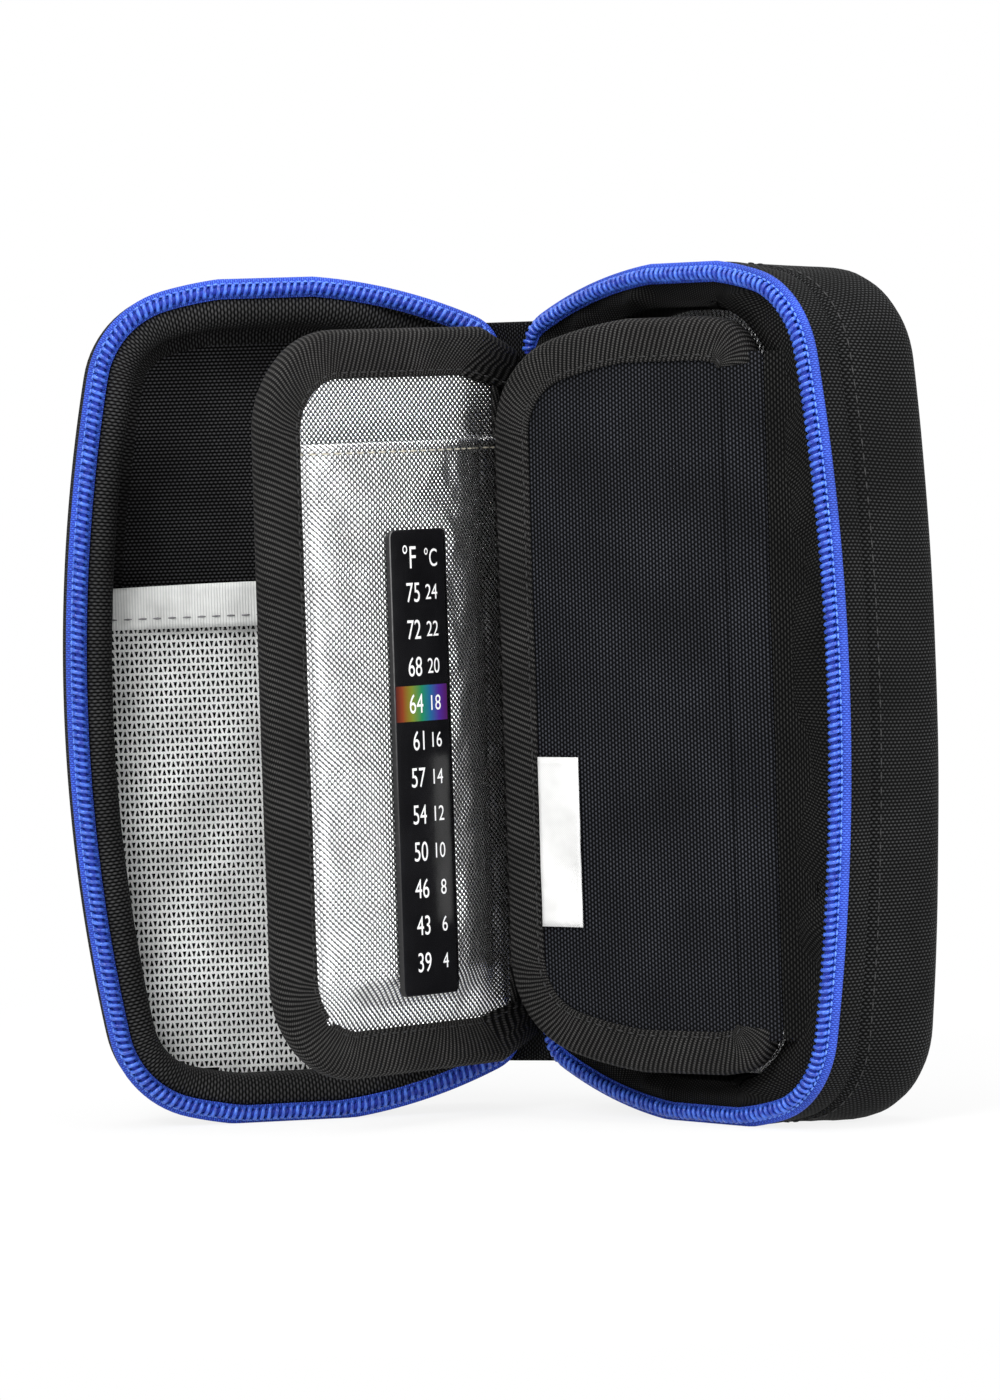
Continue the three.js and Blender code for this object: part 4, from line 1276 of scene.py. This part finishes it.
rows = [page_ring(inset, level) for inset, level in PAGE_BINDING]
for row in rows:
    for p in row:
        p.z += ripple(p, 13, 0.25, 21.0) * abs(p.z) / 3
page_binding = piece(
    closed_band(rows), "page_binding_tape", PAGE_AT, "page", GROSGRAIN, ["page_binding"]
)
for name, level in (("front", -2.85), ("back", 2.85)):
    line = page_ring(10.4, level)
    ups = [Vector((0, 0, math.copysign(1, level)))] * len(line)
    sew(f"page_{name}_stitches", line, ups, PAGE_AT, "page", BLACK_THREAD, 2.2, 0.9, 0.5)
print("page binding:", len(page_binding.data.polygons), "faces")

# %% Foil face and back cover
face_rows = [tapered(row) for row in dome(PAGE, PAGE_COVER, -1.75, -2.0, shares)]
face_cut = loft(face_rows, flat=True, capped=True)
page_nodes = ["page_foil_face", "page_core"]
page_face = piece(face_cut, "page_face", PAGE_AT, "page", FOIL, page_nodes, facing=-1)
thicken(page_face, 0.3)
back_rows = [tapered(row) for row in dome(PAGE, PAGE_COVER, 1.75, 2.1, shares)]
back_cut = loft(back_rows, flat=True, capped=True)
back_nodes = ["page_back_cover"]
page_back = piece(back_cut, "page_back", PAGE_AT, "page", OXFORD, back_nodes, facing=1)
thicken(page_back, 0.3)
print("page faces:", len(page_face.data.polygons) + len(page_back.data.polygons))

# %% Hinge tape of the page
PAGE_TAPE_HALF = 77
TAPE_FRONT = [(1.9, 0.45), (3.6, 0.55), (5.4, 1.2), (6.6, 2.25), (8.6, 2.7), (9.0, 2.5)]
TAPE_FRONT += [(8.9, 2.2), (6.9, 1.5)]
section = TAPE_FRONT + [(6.4, 0)] + [(u, -level) for u, level in reversed(TAPE_FRONT)]
rows = []
for i in range(61):
    v = PAGE_TAPE_HALF * (i / 30 - 1)
    row = [Vector((u, v, level)) for u, level in section]
    for p in row:
        p.z += 0.1 * ripple(p, 9, 1.0, 22.0)
    rows.append(row)
hinge_tape = loft(rows)
cap(hinge_tape)
page_tape = piece(
    hinge_tape, "page_root_tape", PAGE_AT, "page", GROSGRAIN, ["page_hinge_tape"]
)
print("page tape:", len(page_tape.data.polygons), "faces")

# %% [markdown]
# ### Foil pocket and gel pack
# The pocket is a foil sheet sewn to the page on three sides. A gel pack fills it, so it stands off the page
# in a long cushion. Its height is a smooth function of place, with small dents added,
# and the upper edge is folded over into a hem.

# %% Shape of the pocket
POCKET_LEFT = 15.1
POCKET_RIGHT = 70.0
POCKET_FOOT = -74.0
POCKET_MOUTH = 56.5
POCKET_RISE = 6.6
POCKET_BASE = 2.2
HEM = 6.3
PATCH_LEFT = 7.6
PATCH_RIGHT = 73.6
PATCH_FOOT = -79.8
STRIP_U = (POCKET_LEFT + POCKET_RIGHT) / 2
STRIP_HALF = 9.5
STRIP_LOW = -70.5
STRIP_HIGH = 41.5


def pocket_rise(u, v):
    across = abs(2 * (u - POCKET_LEFT) / (POCKET_RIGHT - POCKET_LEFT) - 1)
    crown = 1 - across**2.5 if across < 1 else 0.0
    return POCKET_RISE * crown * smooth_step(POCKET_FOOT, POCKET_FOOT + 10, v)


def under_strip(u, v):
    across = smooth_step(STRIP_HALF, STRIP_HALF + 5, abs(u - STRIP_U))
    along = smooth_step(0, 5, max(STRIP_LOW - v, v - STRIP_HIGH))
    return max(across, along)


def pocket_level(u, v):
    spot = Vector((u, v, 0))
    border = min(u - PATCH_LEFT, PATCH_RIGHT - u, v - PATCH_FOOT)
    dents = ripple(spot, 11, 0.7, 23.0) + ripple(spot, 4.5, 0.3, 24.0)
    lift = 0.75 * smooth_step(1.2, 5, border)
    loose = under_strip(u, v) * smooth_step(1.5, 6, border)
    return POCKET_BASE + lift + pocket_rise(u, v) + loose * dents


print("pocket:", round(POCKET_RIGHT - POCKET_LEFT, 1), "mm wide between its seams")


# %% Pocket of foil
ACROSS_STEPS = 72
UP_STEPS = 112
stops = [PATCH_LEFT + (PATCH_RIGHT - PATCH_LEFT) * k / ACROSS_STEPS for k in range(ACROSS_STEPS + 1)]
seam = POCKET_MOUTH + HEM - 2.4
levels = [PATCH_FOOT + (seam - PATCH_FOOT) * i / UP_STEPS for i in range(UP_STEPS + 1)]
rows = [[Vector((u, v, -pocket_level(u, v))) for u in stops] for v in levels]
for rise, lift in ((0.3, 0.35), (1.2, 0.5), (2.1, 0.4), (2.4, 0.1)):
    rows.append([Vector((u, seam + rise, -pocket_level(u, seam + rise) - lift)) for u in stops])
for rise in (2.2, -1.5):
    rows.append([Vector((u, seam + rise, -pocket_level(u, seam + rise) + 0.5)) for u in stops])
pocket_nodes = ["page_pocket", "pocket_hem"]
patch = loft(rows, False)
pocket = piece(patch, "foil_pocket", PAGE_AT, "page", FOIL, pocket_nodes, facing=-1)
thicken(pocket, 0.25)
hem_line = [Vector((u, seam, -pocket_level(u, seam) - 0.15)) for u in stops]
ups = [Vector((0, 0, -1))] * len(stops)
sew("hem_stitches", hem_line, ups, PAGE_AT, "page", BEIGE_THREAD, 2.2, 0.9, 0.45)

# %% Gel pack
PACK_LOW = -59.6
PACK_HIGH = 44.4
PACK_HALF = 19.4
PACK_BACK = 3.4
PACK_SIDES = 28
PACK_STEPS = 30


def blunt(value, power):
    return math.copysign(abs(value) ** power, value)


rows = []
for i in range(PACK_STEPS + 1):
    v = PACK_LOW + (PACK_HIGH - PACK_LOW) * i / PACK_STEPS
    end = min(i, PACK_STEPS - i) / 4
    full = min(1.0, math.sin(min(end, 1.0) * math.pi / 2) + 0.12)
    row = []
    for k in range(PACK_SIDES):
        turn = 2 * math.pi * k / PACK_SIDES
        u = STRIP_U + PACK_HALF * (0.9 + 0.1 * full) * blunt(math.cos(turn), 0.5)
        top = POCKET_BASE + pocket_rise(u, v) - 0.5
        middle = (PACK_BACK + top) / 2
        half = (top - PACK_BACK) / 2 * full
        row.append(Vector((u, v, -middle - half * blunt(math.sin(turn), 0.7))))
    rows.append(row)
pack = loft(rows)
cap(pack)
gel = piece(pack, "gel_cushion", PAGE_AT, "pack", GEL, ["gel_pack"])
print("gel pack:", len(gel.data.polygons), "faces")

# %% [markdown]
# ### Thermometer strip
# A stiff glossy card lies on the pocket. It bends only across, with the cushion below it.
# Its numbers are flat text turned to mesh, laid a hair above the card and bent with it.
# One window of liquid crystal shows the present temperature in colour.

# %% Card of the strip
CARD_TOP = 10.4


def card_level(u):
    across = abs(u - STRIP_U) / ((POCKET_RIGHT - POCKET_LEFT) / 2)
    return CARD_TOP - POCKET_RISE * across**2.5


CARD_STRAIGHT = 108.8
ends = [(0.0, 8.0), (0.25, 8.7), (0.8, 9.25), (1.6, STRIP_HALF)]
places = [(STRIP_LOW + d, half) for d, half in ends]
places += [(STRIP_LOW + ends[-1][0] + CARD_STRAIGHT * i / 24, STRIP_HALF) for i in range(1, 24)]
places += [(STRIP_HIGH - d, half) for d, half in reversed(ends)]
rows = []
for v, half in places:
    across = [STRIP_U + half * (k / 8 - 1) for k in range(17)]
    rows.append([Vector((u, v, -card_level(u))) for u in across])
card = loft(rows, False, flat=True)
strip = piece(card, "strip", PAGE_AT, "page", CARD, ["thermometer_strip"], facing=-1)
thicken(strip, 0.4)
print("strip:", len(strip.data.polygons), "faces")

# %% Numbers of the strip
FIRST_ROW = 15.0
ROW_PITCH = 8.9
FAHRENHEIT = [75, 72, 68, 64, 61, 57, 54, 50, 46, 43, 39]
CELSIUS = [24, 22, 20, 18, 16, 14, 12, 10, 8, 6, 4]


def text_faces(bm, text, right, middle, height, condensed=0.7):
    curve = bpy.data.curves.new("text", "FONT")
    curve.body = text
    helper = bpy.data.objects.new("text", curve)
    bpy.context.scene.collection.objects.link(helper)
    flat = bpy.data.meshes.new_from_object(helper.evaluated_get(bpy.context.evaluated_depsgraph_get()))
    bpy.data.objects.remove(helper)
    bpy.data.curves.remove(curve)
    edge = max(v.co.x for v in flat.vertices)
    top = max(v.co.y for v in flat.vertices)
    tall = height / top
    for vert in flat.vertices:
        u = STRIP_U + STRIP_HALF - right + (edge - vert.co.x) * tall * condensed
        v = STRIP_HIGH - middle + (vert.co.y - top / 2) * tall
        vert.co = (u, v, -card_level(u) - 0.06)
    bm.from_mesh(flat)
    bpy.data.meshes.remove(flat)


bm = bmesh.new()
text_faces(bm, "°F", 8.8, 6.4, 5.6)
text_faces(bm, "°C", 15.8, 6.7, 4.4)
for i, (warm, cool) in enumerate(zip(FAHRENHEIT, CELSIUS)):
    text_faces(bm, str(warm), 9.7, FIRST_ROW + ROW_PITCH * i, 4.6)
    text_faces(bm, str(cool), 15.5, FIRST_ROW + ROW_PITCH * i, 3.6, 0.8)
bm.loops.layers.uv.new("cloth")
numbers = piece(bm, "strip_numbers", PAGE_AT, "page", PRINT, smooth=False, facing=-1)
print("numbers:", len(numbers.data.polygons), "faces")

# %% Liquid crystal window
WINDOW_WIDE = 8.3
WINDOW_HIGH = 4.3
spans = [STRIP_U + WINDOW_WIDE * (k / 8 - 1) for k in range(17)]
middle = STRIP_HIGH - FIRST_ROW - 3 * ROW_PITCH
rows = []
for i in range(5):
    v = middle + WINDOW_HIGH * (i / 2 - 1)
    rows.append([Vector((u, v, -card_level(u) - 0.025)) for u in spans])
bm = loft(rows, False)
uv = bm.loops.layers.uv.active
for face in bm.faces:
    for corner in face.loops:
        along = (STRIP_U + WINDOW_WIDE - corner.vert.co.x) / (2 * WINDOW_WIDE)
        corner[uv].uv = (along, corner.vert.co.y * MM)
window = piece(bm, "strip_window", PAGE_AT, "page", RAINBOW, facing=-1)
print("window:", len(window.data.polygons), "faces")

# %% [markdown]
# ## Flap of the compartment
# The flap is a second padded leaf, cut to the mouth's outline and hinged on a roll beside the free side.
# Its cover is woven in columns of small dashes. The binding runs round the tip only.
# The flap turns on the roll and the roll on the body, so the cloth over the hinge is made in two halves,
# each drawn at the flap's present lift between the two bodies that it joins, and riding on neither.

# %% Flap binding and faces
FLAP = Panel(
    left=10,
    right=86.1,
    half=91,
    apex=60.3,
    left_arch=115.7,
    right_arch=90.7,
    side=STRAIGHT,
    left_corner=24,
    right_corner=12,
    foot=0.6,
)
FLAP_BINDING = binding_section(10.5)
FLAP_COVER = 0.8
rows = [tip_ring(FLAP, inset, level) for inset, level in FLAP_BINDING]
for row in rows:
    for p in row:
        p.z += ripple(p, 13, 0.25, 31.0) * abs(p.z) / 3
flap_binding = piece(
    closed_band(rows), "flap_binding_tape", FLAP_AT, "flap", GROSGRAIN, ["flap_binding"]
)
for name, level in (("front", 2.85), ("back", -2.85)):
    line = tip_ring(FLAP, 9.2, level)
    ups = [Vector((0, 0, math.copysign(1, level)))] * len(line)
    sew(f"flap_{name}_stitches", line, ups, FLAP_AT, "flap", BLACK_THREAD, 2.2, 0.9, 0.5)
cover_cut = loft(dome(FLAP, FLAP_COVER, 1.7, 2.6, shares), flat=True, capped=True)
flap_nodes = ["flap_cover", "flap_core"]
flap_cover = piece(cover_cut, "flap_front", FLAP_AT, "flap", FLAP_CLOTH, flap_nodes, facing=1)
thicken(flap_cover, 0.3)
foil_cut = loft(dome(FLAP, FLAP_COVER, -1.7, -2.3, shares), flat=True, capped=True)
flap_foil = piece(foil_cut, "flap_lining", FLAP_AT, "flap", FOIL, ["flap_foil"], facing=-1)
thicken(flap_foil, 0.3)
print("flap:", len(flap_binding.data.polygons), "faces in the binding")

# %% Hinge roll and hinge cloth
FLAP_HALF = FLAP.free_corner()[1]
HINGE_HALF = FLAP_HALF + 4
roll = rod(1.6, FLAP_HALF, (88, 0))
piece(roll, "flap_roll", FLAP_AT, "flap_root", LIP_CLOTH, ["flap_hinge_piping"])
flap_place = Matrix.Translation((FLAP_U, 0, FLAP_W)) @ flap_turn @ Matrix.Translation((-FLAP_U, 0, 0))
flap_line = ((76.5, 2.8), (80, 2.75), (83.0, 2.65), (85.6, 2.45), (87.0, 2.2), (88.2, 1.95))
lip_line = ((90.2, -1.6), (91.6, -2.4), (93.2, -3.0), (95.6, -3.4), (99.5, -3.5))
on_flap = [flap_place @ Vector((u, 0, w)) for u, w in flap_line]
on_body = [Vector((u, 0, w)) for u, w in lip_line]
crest = on_flap[-1]


def hinge_half(name, section, cloth):
    rows = []
    for i in range(51):
        v = HINGE_HALF * (i / 25 - 1)
        row = [Vector((p.x, v, p.z)) for p in section]
        for p in row:
            p.z += ripple(p, 9, 0.25, 32.0)
        rows.append(row)
    half = piece(loft(rows, False), name, BODY_AT, None, cloth, facing=1)
    subdivide(thicken(half, 0.3))
    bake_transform(half)


hinge_half("flap_side_cloth", on_flap, FLAP_CLOTH)
hinge_half("lip_side_cloth", [crest] + on_body, LIP_CLOTH)

# %% Label tab
LABEL_LEFT = 20.9
LABEL_RIGHT = 32.9
LABEL_LOW = -55.5
LABEL_HIGH = -14.5
rows = []
for i in range(25):
    v = LABEL_LOW + (LABEL_HIGH - LABEL_LOW) * i / 24
    row = []
    for k in range(13):
        u = LABEL_LEFT + (LABEL_RIGHT - LABEL_LEFT) * k / 12
        row.append(Vector((u, v, 3.15 + 0.5 * (k / 12) ** 2 + ripple(Vector((u, v, 0)), 8, 0.2, 33.0))))
    rows.append(row)
label = piece(loft(rows, False), "label", FLAP_AT, "flap", LABEL_CLOTH, ["label_tab"], facing=1)
thicken(label, 0.3)
print("label: 12 by 41 mm")

# %% [markdown]
# ## Zip sliders
# The sliders are die-cast and enamelled black. Each is taken over from its CAD solid
# and its edges are rounded, because a cast edge is never sharp. The pull tabs are shortened below the eye.
# They hang behind the spine, where a longer tab would stick out below it.

# %% Sliders and pull tabs
TAB_NECK = 7.5
TAB_SHARE = 0.35
CAST_ROUND = 0.15
SHARP_EDGE = 0.8


def cast(name, node_name, body, shorten):
    node = frame["nodes"][node_name]
    bm = bmesh.new()
    bm.from_mesh(node.data)
    bm.transform(Matrix.Scale(1 / MM, 4) @ node.matrix_world)
    bmesh.ops.remove_doubles(bm, verts=bm.verts, dist=WELD)
    top = max(vert.co.z for vert in bm.verts)
    for vert in bm.verts:
        below = top - TAB_NECK - vert.co.z
        if shorten and below > 0:
            vert.co.z += below * (1 - TAB_SHARE)
    bmesh.ops.dissolve_limit(bm, angle_limit=0.02, verts=bm.verts, edges=bm.edges)
    sharp = [edge for edge in bm.edges if edge.is_manifold and edge.calc_face_angle() > SHARP_EDGE]
    bmesh.ops.bevel(
        bm,
        geom=sharp,
        offset=CAST_ROUND,
        clamp_overlap=True,
        affect="EDGES",
        segments=2,
        profile=0.5,
        material=-1,
    )
    return piece(bm, name, Matrix.Scale(MM, 4), body, ENAMEL, [node_name], smooth=False)


for end in ("upper", "lower"):
    slider = cast(f"{end}_slider", f"zip_slider_{end}", "lid", False)
    tab = cast(f"{end}_puller", f"pull_tab_{end}", f"{end}_tab", True)
    print(slider.name, len(slider.data.polygons), "faces,", tab.name, len(tab.data.polygons), "faces")
